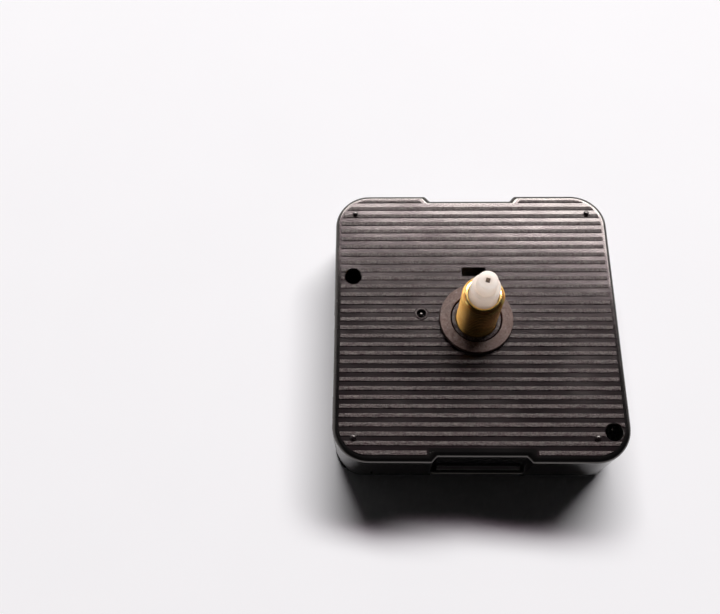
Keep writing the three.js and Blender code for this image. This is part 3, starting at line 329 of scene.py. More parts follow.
def case_look():
    """Polished walls and rim, a satin face, eroded rib tops and side panels with drawn lines."""
    look, tree, shader, place = graph("case black")
    across, along, level = lengths(tree, place)
    aside = figured(tree, "ABSOLUTE", across)
    notched = figured(tree, "MULTIPLY", between(tree, aside, smooth_notch[0]),
                      between(tree, figured(tree, "ABSOLUTE", along), smooth_notch[1]))
    textured = figured(tree, "MULTIPLY", inside_case(tree, across, along, textured_inset),
                       between(tree, level, textured_levels))
    textured = figured(tree, "MULTIPLY", textured, figured(tree, "SUBTRACT", 1.0, notched))
    coarse = figured(tree, "ADD", between(tree, level, rib_top_levels),
                     between(tree, level, collar_top_levels))
    panel = between(tree, aside, panel_floor)
    patches, tint = mottled(tree, place, (0.0034, 0.003, 0.0032), (0.012, 0.011, 0.011), 0.12)
    haze = ranged(tree, noise(tree, place, 700, 4, 0.7), 0.35, 1.0, 0.35, 0.65)
    tint = mixed(tree, figured(tree, "MULTIPLY", textured, haze), tint, (0.0085, 0.0036, 0.0055))
    tint = mixed(tree, figured(tree, "MULTIPLY", coarse, haze), tint, (0.024, 0.0085, 0.012))
    satin = ranged(tree, patches, 0.015, 0.05, 0.3, 0.7)
    skin = ranged(tree, patches, 0.12, 0.15, 0.3, 0.7)
    for field, rougher in ((textured, satin), (coarse, 0.22), (panel, 0.14)):
        skin = figured(tree, "MULTIPLY_ADD", field, rougher, skin)
    sparkle = ranged(tree, noise(tree, place, 3000, 2, 0.7), 0.2, 1.0, 0.35, 0.65)
    shaded(tree, shader, {
        "Base Color": tint, "Roughness": skin, "Specular Tint": (1.0, 0.925, 0.87),
        "Specular IOR Level": mixed(tree, coarse, (0.86, 0.86, 0.86), sparkle)})
    wavy = raised(tree, shader, noise(tree, place, 75, 2), 0.0002, 0.7)
    drawn = figured(tree, "MULTIPLY", noise(tree, place, 2600, 3, 0.6, (1, 1, 0.05)), panel)
    lined = raised(tree, shader, drawn, 0.00003, 0.6, wavy)
    grain = figured(tree, "MULTIPLY", noise(tree, place, 3000, 3, 0.7), ranged(tree, coarse, 0.08, 1.0))
    raised(tree, shader, grain, 0.00016, 1.0, lined)
    return look


case_black = case_look()

parting_edge = [(0.14, 0.0), (0.04, 0.04), (0.0, 0.14)]
rim_angles = [math.radians(90 * k / rim_steps) for k in range(1, rim_steps + 1)]
shell = outline_solid("front_case_shell", [
    *[(inset, parting_level + height) for inset, height in parting_edge],
    (0.0, face_level - rim_rounding),
    *[(rim_rounding * (1 - math.cos(angle)), face_level - rim_rounding * (1 - math.sin(angle)))
      for angle in rim_angles]])

rib_count, rib_pitch, rib_shift, rib_height = 31, 1.778, 0.16, 0.18
rib_flank = [(0.545, -0.25), (0.435, 0.05), (0.41, 0.11), (0.375, 0.15), (0.33, 0.17)]
rib_end_margin = 1.2
rib_end_slope = [(-0.02, -0.5), (0.0, 0.0), (0.12, 0.24), (0.34, 0.5)]


def rib_row():
    """All the ribs as one mesh of separate closed bars with flat tops and softened edges."""
    section = rib_flank + [(0.0, rib_height)] + [(-y, z) for y, z in reversed(rib_flank)]
    count, reach = len(section), case_half_width - bite
    points, faces = [], []
    for row in range(rib_count):
        middle = (row - (rib_count - 1) / 2) * rib_pitch + rib_shift
        first = len(points)
        for x in (-reach, reach):
            points += [(x, middle + y, face_level + z) for y, z in section]
        for i in range(count):
            j = (i + 1) % count
            faces.append((first + i, first + j, first + count + j, first + count + i))
        faces.append(tuple(first + i for i in reversed(range(count))))
        faces.append(tuple(first + count + i for i in range(count)))
    return solid("ribs", points, faces)


# The ribs stop short of the rim, and leave room for the washer and for each mark on the face.
shaft_axis, motion_axis, knob_axis = (0, 0), (-10.727, 1.317), (-21.137, 4.223)
left_hole, right_hole, hole_radius = (-24.3, 9.492), (24.7, -22.5), 1.65
slot_middle, slot_half_length, slot_half_width = 10.509, 2.4, 1.0
washer_radius, washer_gap, hole_gap, dimple_room = 7.2, 0.1, 0.12, 1.42
slot_room_length, slot_room_width, room_edge = 2.6, 1.1, 0.2
notch_room_start, notch_room_end, top_room_width, low_room_width = 25.6, 29, 9.96, 10.35
room_levels = face_level - 0.2, face_level + 2

ribs = keep(rib_row(), outline_solid("rib limit", [
    (rib_end_margin + inset, face_level + height) for inset, height in rib_end_slope]))
cut(ribs,
    rod("washer room", shaft_axis, washer_radius + washer_gap, *room_levels, 72),
    rod("hole room", left_hole, hole_radius + hole_gap, *room_levels),
    rod("hole room", right_hole, hole_radius + hole_gap, *room_levels),
    rod("dimple room", motion_axis, dimple_room, *room_levels),
    block("slot room", span(slot_room_length), span(slot_room_width, slot_middle), room_levels, room_edge),
    block("top notch room", span(top_room_width), (notch_room_start, notch_room_end),
          room_levels, room_edge),
    block("low notch room", span(low_room_width), (-notch_room_end, -notch_room_start),
          room_levels, room_edge))

collar_radius, collar_foot, collar_break = 4.9, 0.25, 0.15
collar_top, inner_end = face_level + 0.9, inner_face_level + bite
collar = turned("collar", [
    (collar_radius + collar_foot, inner_end), (collar_radius + collar_foot, face_level + 0.02),
    (collar_radius + 0.08, face_level + 0.07), (collar_radius, face_level + 0.2),
    (collar_radius, collar_top - collar_break), (collar_radius - collar_break, collar_top)],
    segments=72)

pip_places = (-23.95, 23.7), (23.95, 23.7), (-23.95, -23.7), (21.5, -23.7)
pip_profile = (0.6, -0.6), (0.55, 0.45), (0.49, 0.62), (0.34, 0.72), (0.16, 0.75)
join(shell, ribs, collar, *[
    turned("pip", [(radius, face_level + height) for radius, height in pip_profile], place, 20)
    for place in pip_places])

# Inside, the case is hollow round the works and the battery bay, with posts that hold the plate.
bay_top, bay_bottom, bay_end = -11.9, -27.05, 26.8
plate_posts, plate_post_radius = ((-20.5, 14.5), (10.5, 14.5), (12, -4.5), (-20.5, -7.5)), 1.3
plate_low, plate_high, outside = 10.4, 11.4, 30
boss_radius, bearing_radius, stud_radius = 2.4, 2.6, 0.9
boss_end, bearing_end, stud_end, well_end = inner_face_level - 5, 12.9, 11.55, 13.86
well_half_length, well_half_width = 2.9, 1.5

hollow = outline_solid("hollow", [(wall, parting_level - 1), (wall, inner_face_level)])
cut(hollow, block("above the bay", span(outside), (-outside, bay_top + wall), (0, 20)))
case_bay = keep(
    block("bay", span(bay_end), (bay_bottom, bay_top), (parting_level - 1, inner_face_level)),
    outline_solid("bay limit", [(thin_wall, parting_level - 2), (thin_wall, face_level)]))
cut(shell, hollow, case_bay)
join(shell,
     rod("screw boss", left_hole, boss_radius, boss_end, inner_end),
     rod("knob bearing", knob_axis, bearing_radius, bearing_end, inner_end),
     rod("motion stud", motion_axis, stud_radius, stud_end, inner_end, 20),
     *[rod("plate post", place, plate_post_radius, plate_high, inner_end, 20)
       for place in plate_posts],
     turned("dimple ring", [(1.3, face_level - 0.3), (1.22, face_level + 0.1),
                            (1.12, face_level + 0.16)], motion_axis, 40),
     block("slot well", span(well_half_length), span(well_half_width, slot_middle), (well_end, inner_end)))

bush_hole_radius, knob_pivot_radius, dimple_radius, dimple_depth = 4.05, 0.45, 0.86, 0.85
hole_end, slot_end, slot_edge, hole_chamfer = 5.1, 14.2, 0.18, 0.14
cut(shell,
    rod("bush hole", shaft_axis, bush_hole_radius, inner_face_level - 1, collar_top - 0.1, 72, 0.15),
    rod("left hole", left_hole, hole_radius, hole_end, face_level - 0.12, 40, hole_chamfer),
    rod("right hole", right_hole, hole_radius, hole_end, face_level - 0.12, 40, hole_chamfer),
    rod("knob pivot", knob_axis, knob_pivot_radius, 11.7, 13.6, 16),
    rod("dimple", motion_axis, dimple_radius, face_level - dimple_depth, face_level + 0.05, flare=0.1),
    block("face slot", span(slot_half_length), span(slot_half_width, slot_middle),
          (slot_end, 20), slot_edge))
join(shell, turned("pivot end", [
    (0.36, face_level - 1.0), (0.36, face_level - 0.3), (0.2, face_level - 0.12)],
    motion_axis, 24, face_level - 0.08))

# The side walls have a sunk panel with a deeper strip next to the face, a bead, and a springy
# tongue between two tapered slots. In the bottom notch a bar bridges the wall next to the cover,
# and a fine slit near the left corner frees a snap.
panel_top, panel_bottom, panel_depth = 1.695, -15.707, 0.35
strip_level, strip_end, strip_depth = face_level - 2.3, face_level - 0.45, 0.8
tongue_top, tongue_bottom, slot_width, slot_depth = -3.7, -10.0, 0.6, 2.15
tongue_foot, tongue_root = 4.9, 11.4
bead_level, bead_radius, bead_bottom, bead_top = 12.9, 0.34, -10.5, -3.2
step_half_width, bar_half_width, bar_radius = 8.05, 8.9, 0.32
contact_way_depth, contact_way_length, contact_way_levels = 26.1, (-13.1, -9.5), (9.1, 11.3)
snap_slit, snap_slit_levels = (-20.75, -20.45), (5.0, 7.8)
snap_gap, snap_gap_levels, snap_depth = (-20.6, -13.5), (5.0, 5.62), (-29, -27.45)


def side_solid(name, profile, left, right):
    """A solid with its profile in the YZ plane, given anticlockwise seen from +X."""
    return loft(name, [[(left, y, z) for y, z in profile], [(right, y, z) for y, z in profile]])


def bead(name, middle, radius, start, end, steps=16):
    """A round bar along Y with domed ends."""
    rings = []
    for along, share in ((start, 0.3), (start + radius * 0.3, 0.8), (start + radius, 1.0),
                         (end - radius, 1.0), (end - radius * 0.3, 0.8), (end, 0.3)):
        rings.append([(middle[0] + radius * share * math.sin(2 * math.pi * i / steps), along,
                       middle[1] + radius * share * math.cos(2 * math.pi * i / steps))
                      for i in range(steps)])
    return loft(name, rings)


for side in (-1, 1):
    def across(depth):
        return sorted((side * (case_half_width - depth), side * (case_half_width + 1)))

    def tongue_slot(foot_low, foot_high, root_low, root_high):
        return side_solid("tongue slot", [
            (foot_low, tongue_foot), (foot_high, tongue_foot),
            (root_high, tongue_root), (root_low, tongue_root)], *across(slot_depth))

    cut(shell,
        block("panel", across(panel_depth), (panel_bottom, panel_top), (0, strip_level + 0.02)),
        block("strip", across(strip_depth), (panel_bottom + 0.1, panel_top - 0.1),
              (strip_level, strip_end)),
        tongue_slot(tongue_top - 0.8, tongue_top + slot_width, tongue_top, tongue_top + slot_width),
        tongue_slot(tongue_bottom - 0.35, tongue_bottom - 0.05, tongue_bottom - slot_width, tongue_bottom),
        block("tongue end", across(slot_depth), (tongue_bottom - 0.3, tongue_top + 0.5),
              (0, parting_level + 0.4)),
        block("contact way", sorted((side * contact_way_depth, side * bay_end)),
              contact_way_length, contact_way_levels))
    join(shell, bead("bead", (side * (case_half_width - 0.42), bead_level), bead_radius,
                     bead_bottom, bead_top))
cut(shell,
    block("snap slit", snap_slit, snap_depth, snap_slit_levels),
    block("snap gap", snap_gap, snap_depth, snap_gap_levels))
join(shell,
     side_solid("notch step", [(-27.8, 5.5), (-26.95, 5.5), (-26.95, 9.6), (-27.45, 9.5),
                               (-27.76, 8.25), (-27.8, 8.1)], *span(step_half_width)),
     side_solid("notch bar", [(-28.22, 5.44), (-26.9, 5.44), (-26.9, 6.1), (-27.9, 6.1),
                              *arc((-27.9, 5.78), bar_radius, 90, 180, 5)[1:]], *span(bar_half_width)))
finished(shell, "front_case_shell", "movement", "front_case", case_black)

# Rear cover: a second moulding in the same black plastic, glossier, stepped to follow what lies
# under it: a shallow top edge, the gear box, and the deep box for the coil and the battery. It
# carries posts and bearings inside, and snaps into the front case.
smoky_length, smoky_levels = (-25.0, -13.3), (1.0, 4.7)


def cover_look():
    """The cover's plastic, smoky brown where the battery bay's side walls are thin."""
    look, tree, shader, place = graph("cover black")
    patches, tint = mottled(tree, place, (0.0065, 0.006, 0.0065), (0.02, 0.018, 0.018), 0.12)
    along, level = lengths(tree, place)[1:]
    thin = figured(tree, "MULTIPLY", between(tree, along, smoky_length, 0.4),
                   between(tree, level, smoky_levels, 0.2))
    smoke = ranged(tree, noise(tree, place, 160, 3), 0.55, 1.0, 0.35, 0.65)
    shaded(tree, shader, {
        "Base Color": mixed(tree, figured(tree, "MULTIPLY", thin, smoke), tint, (0.03, 0.019, 0.012)),
        "Roughness": ranged(tree, patches, 0.1, 0.17, 0.3, 0.7),
        "Specular IOR Level": 0.6, "Specular Tint": (1.0, 0.955, 0.9)})
    wavy = raised(tree, shader, noise(tree, place, 90, 2), 0.0002, 0.6)
    raised(tree, shader, noise(tree, place, 4200, 2, 0.6), 0.000004, 0.6, wavy)
    return look


top_step_level, gear_box_level, groove_level = 3.7, 2.005, 3.0
gear_box_top, gear_box_bottom, coil_box_top = 11.797, -3.401, -4.701
battery_radius, coil_radius, step_radius, gear_radius = 5.0, 1.5, 0.8, 0.25
groove_break, step_fillet, top_chamfer = 0.12, 0.15, 0.35
coil_floor, groove_floor, gear_floor, top_floor = wall, 4.3, 3.2, 4.9
low_edge, high_edge, over_parting = -case_half_height, case_half_height, parting_level + 1
rear_slot_start, rear_slot_length, rear_slot_depth = (-29.2, -25), (17.0, 18.4), (0, 4.3)

profile = [
    (high_edge, parting_level + 0.5), (low_edge - 0.5, parting_level + 0.5),
    (low_edge - 0.5, battery_radius),
    *arc((low_edge + battery_radius, battery_radius), battery_radius, 180, 270, 14),
    *arc((coil_box_top - coil_radius, coil_radius), coil_radius, 270, 360, 10),
    (coil_box_top, groove_level - groove_break), (coil_box_top + groove_break, groove_level),
    (gear_box_bottom - groove_break, groove_level), (gear_box_bottom, groove_level - groove_break),
    *arc((gear_box_bottom + gear_radius, gear_box_level + gear_radius), gear_radius, 180, 270, 4),
    *arc((gear_box_top - step_radius, gear_box_level + step_radius), step_radius, 270, 360, 8),
    (gear_box_top, top_step_level - step_fillet), (gear_box_top + step_fillet, top_step_level),
    (high_edge - top_chamfer, top_step_level), (high_edge, top_step_level + top_chamfer)]
body = keep(
    outline_solid("rear_cover_shell", [(0.0, -1), *[
        (inset, parting_level - height) for inset, height in reversed(parting_edge)]]),
    side_solid("cover sides", profile, *span(28.5)))
cavity = keep(
    outline_solid("cover hollow", [(wall, 0.2), (wall, over_parting)]),
    side_solid("hollow sides", [
        (28, parting_level + 0.8), (bay_top + wall, parting_level + 0.8),
        (bay_top + wall, coil_floor), (coil_box_top - wall, coil_floor),
        (coil_box_top - wall, groove_floor), (gear_box_bottom + wall, groove_floor),
        (gear_box_bottom + wall, gear_floor), (gear_box_top - wall, gear_floor),
        (gear_box_top - wall, top_floor), (28, top_floor)], *span(28)))
cover_bay = keep(
    block("bay", span(bay_end), (bay_bottom, bay_top), (-1, over_parting)),
    outline_solid("bay limit", [(thin_wall, -2), (thin_wall, 8)]))
cut(body, cavity, cover_bay,
    block("rear slot", rear_slot_start, rear_slot_length, rear_slot_depth))

# Each post is given by its axis, radius, foot and top: four hold the plate, six are bearings.
post_feet = 4.3, 4.3, 3.6, 0.6
posts = [(place, plate_post_radius, foot, plate_low) for place, foot in zip(plate_posts, post_feet)]
posts += [((9.5, 10.25), 1.2, 2.7, 8.0), ((7.4, -4.0), 1.2, 3.7, 8.0), (shaft_axis, 1.1, 2.7, 6.6),
          ((4.406, 5.251), 0.9, 2.7, 5.6), ((-6.625, 3.825), 1.0, 2.7, 7.6),
          ((9.998, 3.434), 1.2, 2.7, 3.6)]
join(body, *[rod("post", *post, 20) for post in posts])

# A thin skin is let in along the bay's side walls, and a recess with its gate on the left side.
skin_depth, skin_levels, skin_length = 0.16, (0.9, 4.65), (-26.6, -13.3)
recess_depth, recess_radius, recess_start, recess_end = 0.5, 0.8, -3.6, 1.4
recess_low, recess_high, knob_shaft_hole = 2.45, 4.9, 1.5
side_skin = keep(
    outline_solid("side skin", [(-0.5, level) for level in skin_levels]),
    block("skin length", span(outside), skin_length, (0, 6)))
cut(side_skin, outline_solid("skin floor", [(skin_depth, 0), (skin_depth, 6)]))
gate = turned("gate", [(0.34, -0.5), (0.4, 0.6)], segments=20)
gate.data.transform(Matrix.Translation((-case_half_width + 0.3, 4.0, 4.1))
                    @ Matrix.Rotation(-math.pi / 2, 4, "Y"))
cut(body,
    side_skin,
    rod("knob shaft hole", knob_axis, knob_shaft_hole, 0, 4.4, 32),
    side_solid("side recess", [
        (recess_start, recess_low), (recess_end, recess_low),
        *arc((recess_end, recess_low + recess_radius), recess_radius, 270, 360, 6)[1:],
        *arc((recess_end, recess_high - recess_radius), recess_radius, 0, 90, 6),
        (recess_start, recess_high)], -case_half_width - 1, -case_half_width + recess_depth),
    gate)
finished(body, "rear_cover_shell", "movement", "rear_cover", cover_look())

# Threaded bush: what the dial nut screws on, turned from brass, with a fine thread cut over its
# whole length and a small chamfer at its mouth. A flange holds it behind the face, where it is
# pressed in from inside.
bush_radius, bush_top, bush_bore, bush_low = 3.95, 28.9, 2.85, 14.1
flange_radius, flange_top, shank_top, mouth_chamfer = 5.4, 15.1, 16.4, 0.5
thread_pitch, thread_depth, crest_depth = 0.75, 0.33, 0.08
thread_form = [(0.0, -0.12), (0.05, 0.0), (0.4, 0.0), (0.45, -0.12), (0.68, -1.0), (0.77, -1.0)]


def brass_look():
    """Golden on the crests and at the edges, tarnished red brown down in the thread."""
    look, tree, shader, place = graph("turned brass")
    patches = noise(tree, place, 260, 4)
    rings = noise(tree, place, 900, 2, 0.5, (0.15, 0.15, 4))
    tint = mixed(tree, ranged(tree, patches, 0, 1, 0.35, 0.7), (0.87, 0.44, 0.11), (0.94, 0.55, 0.17))
    groove = ranged(tree, distance(tree, *lengths(tree, place)[:2]), 1.0, 0.0,
                    (bush_radius - thread_depth) * MILLIMETRE, (bush_radius - crest_depth) * MILLIMETRE)
    tint = mixed(tree, figured(tree, "MULTIPLY", groove, 0.75), tint, (0.58, 0.19, 0.045))
    shaded(tree, shader, {
        "Base Color": mixed(tree, worn_edge(tree), tint, (0.95, 0.68, 0.24)), "Metallic": 1,
        "Roughness": ranged(tree, patches, 0.13, 0.24, 0.3, 0.7)})
    raised(tree, shader, rings, 0.000008, 0.5)
    return look


def thread(low, high, segments=72):
    """A closed bar with one helical thread. It runs on past both ends, for the blank to trim."""
    width, total = len(thread_form), (int((high - low) / thread_pitch) + 4) * segments
    points, faces = [], []
    for step in range(total + 1):
        angle = 2 * math.pi * step / segments
        height = low - 2 * thread_pitch + thread_pitch * step / segments
        points += [(*polar(bush_radius + thread_depth * dip, angle), height + thread_pitch * along)
                   for along, dip in thread_form]
    for i in range(total):
        a, b = i * width, (i + 1) * width
        faces += [(a + k, b + k, b + k + 1, a + k + 1) for k in range(width - 1)]
        if i + segments < total:
            above = (i + segments) * width
            faces.append((a + width - 1, b + width - 1, above + width, above))
    bottom, top = len(points), len(points) + 1
    points += [(0, 0, low - 3 * thread_pitch), (0, 0, high + 4 * thread_pitch)]
    for i in range(segments):
        faces.append((bottom, (i + 1) * width, i * width))
        last = (total - segments + i) * width + width - 1
        faces.append((top, last, last + width))
    faces.append((bottom, *range(width), segments * width))
    end = total * width
    faces.append((top, *range(end + width - 1, end - 1, -1), (total - segments) * width + width - 1))
    return solid("threaded_bush_turned", points, faces)


bush = keep(thread(face_level, bush_top), turned("blank", [
    (bush_radius + 0.02, 16.0), (bush_radius + 0.02, bush_top - mouth_chamfer),
    (bush_radius - 0.48, bush_top - 0.06), (bush_radius - 0.58, bush_top)], segments=72))
join(bush,
     rod("shank", shaft_axis, bush_radius, bush_low, shank_top, 72),
     rod("flange", shaft_axis, flange_radius, bush_low, flange_top, 72))
cut(bush, rod("bore", shaft_axis, bush_bore, 12, bush_top - 0.12, 72, 0.16))
finished(bush, "threaded_bush_turned", "movement", "threaded_bush", brass_look())

# Rubber washer: a flat ring of matt black rubber that lies round the collar and seals against the
# back of the dial. It is cut from sheet, so its edges are only just broken.
washer_top, washer_hole_radius = face_level + 1.2, 5.05


def rubber_look():
    look, tree, shader, place = graph("washer rubber")
    patches = noise(tree, place, 300, 5, 0.6)
    grain = noise(tree, place, 2600, 3, 0.7)
    tint = mixed(tree, ranged(tree, patches, 0, 1, 0.35, 0.65), (0.062, 0.035, 0.03), (0.1, 0.058, 0.05))
    specks = ranged(tree, noise(tree, place, 2300, 1, 0.4), 0, 0.3, 0.7, 0.76)
    shaded(tree, shader, {
        "Base Color": mixed(tree, specks, tint, (0.4, 0.36, 0.35)),
        "Roughness": ranged(tree, patches, 0.4, 0.5, 0.3, 0.7),
        "Specular IOR Level": ranged(tree, grain, 0.2, 1.0, 0.35, 0.65), "Specular Tint": (1.0, 0.86, 0.8)})
    raised(tree, shader, grain, 0.00016, 1.0)
    return look


washer = cut(
    turned("rubber_washer_ring", [
        (washer_radius - 0.1, face_level), (washer_radius, face_level + 0.1),
        (washer_radius, washer_top - 0.15), (washer_radius - 0.05, washer_top - 0.04),
        (washer_radius - 0.17, washer_top)], segments=96),
    rod("washer hole", shaft_axis, washer_hole_radius, 15, washer_top - 0.1, 96, 0.1))
finished(washer, "rubber_washer_ring", "movement", "rubber_washer", rubber_look())

# Hand tubes: the hour wheel's tube, the minute arbor's tube and the seconds arbor stand in each
# other inside the bush. All three are moulded in milky white acetal, slightly see-through, with
# soft ends and with their wheels or pinions in one piece.
hour_tube_top, minute_tube_top, seconds_top = 32.3, 35.2, 35.14
hour_radius, hour_bore, minute_radius, minute_bore = 2.75, 2.0, 1.9, 0.85
seconds_radius, seconds_mouth = 0.75, 0.765
socket_depth, socket_turn, socket_reach = 1.6, -15, (0.66, 0.7)


def overlaid(tree, shader, factor, other):
    """Shows another shader over the first by a factor."""
    blend = tree.nodes.new("ShaderNodeMixShader")
    feed(tree, blend.inputs["Fac"], factor)
    tree.links.new(shader.outputs["BSDF"], blend.inputs[1])
    tree.links.new(other.outputs[0], blend.inputs[2])
    tree.links.new(blend.outputs["Shader"], tree.nodes["Material Output"].inputs["Surface"])


def milky(name, colour, rough, clear=0.0, socket_top=0.0):
    """White acetal that light passes through. Painted shade greys a socket in its end."""
    look, tree, shader, place = graph(name)
    patches = noise(tree, place, 160, 3)
    tint = mixed(tree, ranged(tree, patches, 0, 1, 0.3, 0.7), tuple(c * 0.94 for c in colour), colour)
    # Painted shade: the socket's walls take a dark grey, in their colour and in the light passed through.
    veil, painted_socket_shade = (1.0, 0.94, 0.885), (0.11, 0.095, 0.085)
    if socket_top:
        across, along, level = lengths(tree, place)
        inner, outer = socket_reach
        inside = figured(tree, "MULTIPLY", between(tree, level, (socket_top - 1.7, socket_top - 0.1)),
                         ranged(tree, distance(tree, across, along), 1.0, 0.0,
                                inner * MILLIMETRE, outer * MILLIMETRE))
        # The painted shade is mixed into the socket walls' colour and into the light that passes through
        # them.
        tint, veil = mixed(tree, inside, tint, painted_socket_shade), mixed(tree, inside, veil, painted_socket_shade)
    shaded(tree, shader, {
        "Base Color": tint, "Subsurface Weight": 1.0, "Subsurface Scale": 0.003,
        "Roughness": ranged(tree, patches, rough - 0.05, rough + 0.05, 0.3, 0.7)})
    shader.inputs["Subsurface Radius"].default_value = (1.0, 0.88, 0.8)
    raised(tree, shader, noise(tree, place, 1200, 2), 0.000012, 0.4)
    if clear:
        through = tree.nodes.new("ShaderNodeBsdfTranslucent")
        feed(tree, through.inputs["Color"], veil)
        overlaid(tree, shader, clear, through)
    return look


tube_colour, tube_gloss, tube_clearness = (0.985, 0.93, 0.89), 0.36, 0.58
tube_white = milky("tube acetal", tube_colour, tube_gloss, tube_clearness)
seconds_white = milky("arbor acetal", tube_colour, tube_gloss, tube_clearness, seconds_top)
least_tip = 0.12


def gear(teeth, module, low, high, thickness, addendum, dedendum, tip, turn):
    """A wheel with radial flanks and rounded tips, as the moulding tool leaves them."""
    pitch = teeth * module / 2
    half = thickness * math.pi / teeth
    inner, outer = pitch - dedendum * module, pitch + addendum * module
    shoulder, narrowed = pitch + 0.6 * (outer - pitch), half * (0.55 + 0.45 * tip)
    flank = [(inner, half), (pitch, half), (shoulder, narrowed), (outer, half * max(tip, least_tip))]
    tooth = [(radius, -angle) for radius, angle in flank] + flank[::-1]
    ring = []
    for i in range(teeth):
        ring += [polar(radius, turn + 2 * math.pi * i / teeth + angle) for radius, angle in tooth]
    return loft("gear", [[(x, y, low) for x, y in ring], [(x, y, high) for x, y in ring]])


def tube_end(name, radius, low, top, segments=64, soft=0.22):
    """A round bar whose top edge is softened."""
    return turned(name, [
        (radius, low), (radius, top - soft), (radius - 0.08 * soft, top - 0.6 * soft),
        (radius - 0.3 * soft, top - 0.27 * soft), (radius - 0.62 * soft, top - 0.07 * soft),
        (radius - soft, top)], segments=segments)


def meshed(driver_teeth, driver_angle, degrees, teeth):
    """The start angle that puts a follower's gap opposite a driver's tooth."""
    direction = math.radians(degrees)
    return (direction + math.pi + math.pi / teeth - (driver_angle - direction) * driver_teeth / teeth)


# The angles are those at which each wheel sees the one that drives it, as the solids stand.
motion_module, seconds_module, third_module = 0.5404, 0.3808, 0.29998
wheel_form, pinion_form = (0.42, 0.95, 1.15, 0.0), (0.36, 0.7, 1.3, 0.4)
motion_angle, rotor_angle, middle_angle = 353, 162, 230
hour_wheel_teeth, motion_pinion_teeth, minute_pinion_teeth, motion_wheel_teeth = 32, 8, 10, 30
rotor_teeth, middle_wheel_teeth, pinion_teeth, seconds_wheel_teeth = 6, 36, 6, 30
hour_wheel_levels, minute_pinion_levels = (12.9, 13.796), (11.6, 12.6)
seconds_wheel_levels, seconds_pinion_levels = (6.9, 7.5), (6.9, 8.6)
journal_radius, spigot_radius, pivot_radius = 2.2, 1.6, 0.35

hour = join(
    gear(hour_wheel_teeth, motion_module, *hour_wheel_levels, *wheel_form,
         meshed(motion_pinion_teeth, 0, motion_angle, hour_wheel_teeth)),
    tube_end("hour tube", hour_radius, 13.2, hour_tube_top))
cut(hour, rod("hour bore", shaft_axis, hour_bore, 12, hour_tube_top - 0.1, 64, 0.14))
finished(hour, "hour_wheel_tube", "hour", "hour_wheel", tube_white)

minute = join(
    tube_end("minute tube", minute_radius, 12.2, minute_tube_top, soft=0.3),
    gear(minute_pinion_teeth, motion_module, *minute_pinion_levels, *pinion_form,
         meshed(motion_wheel_teeth, 0, motion_angle, minute_pinion_teeth)),
    rod("minute journal", shaft_axis, journal_radius, 10.156, 11.7),
    rod("minute spigot", shaft_axis, spigot_radius, 8.8, 12.0))
cut(minute, turned("minute bore", [
    (minute_bore, 8), (minute_bore, minute_tube_top - 1.2), (seconds_mouth, minute_tube_top - 1.1),
    (seconds_mouth, minute_tube_top - 0.04), (0.8, minute_tube_top + 0.5)]))
finished(minute, "minute_arbor_tube", "minute", "minute_arbor", tube_white)

middle_start = meshed(rotor_teeth, 0, rotor_angle, middle_wheel_teeth)
seconds_start = meshed(pinion_teeth, middle_start, middle_angle, seconds_wheel_teeth)
seconds = join(
    tube_end("seconds arbor", seconds_radius, 8.5, seconds_top, 48, 0.04),
    gear(pinion_teeth, third_module, *seconds_pinion_levels, *pinion_form, seconds_start),
    gear(seconds_wheel_teeth, seconds_module, *seconds_wheel_levels, *wheel_form, seconds_start),
    rod("seconds pivot", shaft_axis, pivot_radius, 5.9, 7.2, 16))
socket = block("hand socket", span(0.38), span(0.47), (seconds_top - socket_depth, seconds_top + 1), 0.06)
socket.data.transform(Matrix.Rotation(math.radians(socket_turn), 4, "Z"))
cut(seconds, socket)
finished(seconds, "seconds_wheel_arbor", "seconds", "seconds_wheel", seconds_white)

# Setting knob: turned with a finger at the back to set the hands. It is moulded in matt black,
# with pointed teeth round its rim and a dished face, and is pressed on its shaft.
knob_teeth, steps_per_tooth, knob_radius, tooth_depth = 28, 6, 6.3, 0.7
knob_edge = [(0.22, 0.0), (0.06, 0.08), (0.0, 0.24), (0.0, 1.46), (0.06, 1.62), (0.22, 1.7)]
dish_profile = [(4.75, -1), (4.6, 0.05), (4.45, 0.42), (4.2, 0.5)]
boss_profile = [(1.5, 0.2), (1.62, 0.3), (1.7, 0.62)]


def moulded(name, colour, rough, grain, grain_height, edge_colour, dust=0.1):
    """Moulded plastic: a wavy skin with a fine grain over a cloudy colour."""
    look, tree, shader, place = graph(name)
    patches, tint = mottled(tree, place, colour, edge_colour, dust)
    shaded(tree, shader, {
        "Base Color": tint, "Specular IOR Level": 0.6,
        "Roughness": ranged(tree, patches, rough - 0.03, rough + 0.05, 0.3, 0.7)})
    wavy = raised(tree, shader, noise(tree, place, 90, 2), 0.00015, 0.6)
    raised(tree, shader, noise(tree, place, grain, 2, 0.6), grain_height, 0.6, wavy)
    return look


knob_rings = []
for inset, level in knob_edge:
    ring = []
    for i in range(knob_teeth * steps_per_tooth):
        share = (i % steps_per_tooth) / steps_per_tooth
        radius = knob_radius - inset - tooth_depth * (2 * min(share, 1 - share)) ** 1.15
        angle = 2 * math.pi * i / (knob_teeth * steps_per_tooth)
        ring.append((*polar(radius, angle, knob_axis), level))
    knob_rings.append(ring)
knob = cut(loft("knob", knob_rings),
           turned("dish", dish_profile, knob_axis, 64),
           rod("spigot hole", knob_axis, 1.05, 0.6, 2.5))
join(knob, turned("boss", boss_profile, knob_axis, 48))
finished(knob, "setting_knob_rim", "setting", "setting_knob",
         moulded("knob black", (0.012, 0.011, 0.0115), 0.36, 3800, 0.00001, (0.035, 0.032, 0.032)))

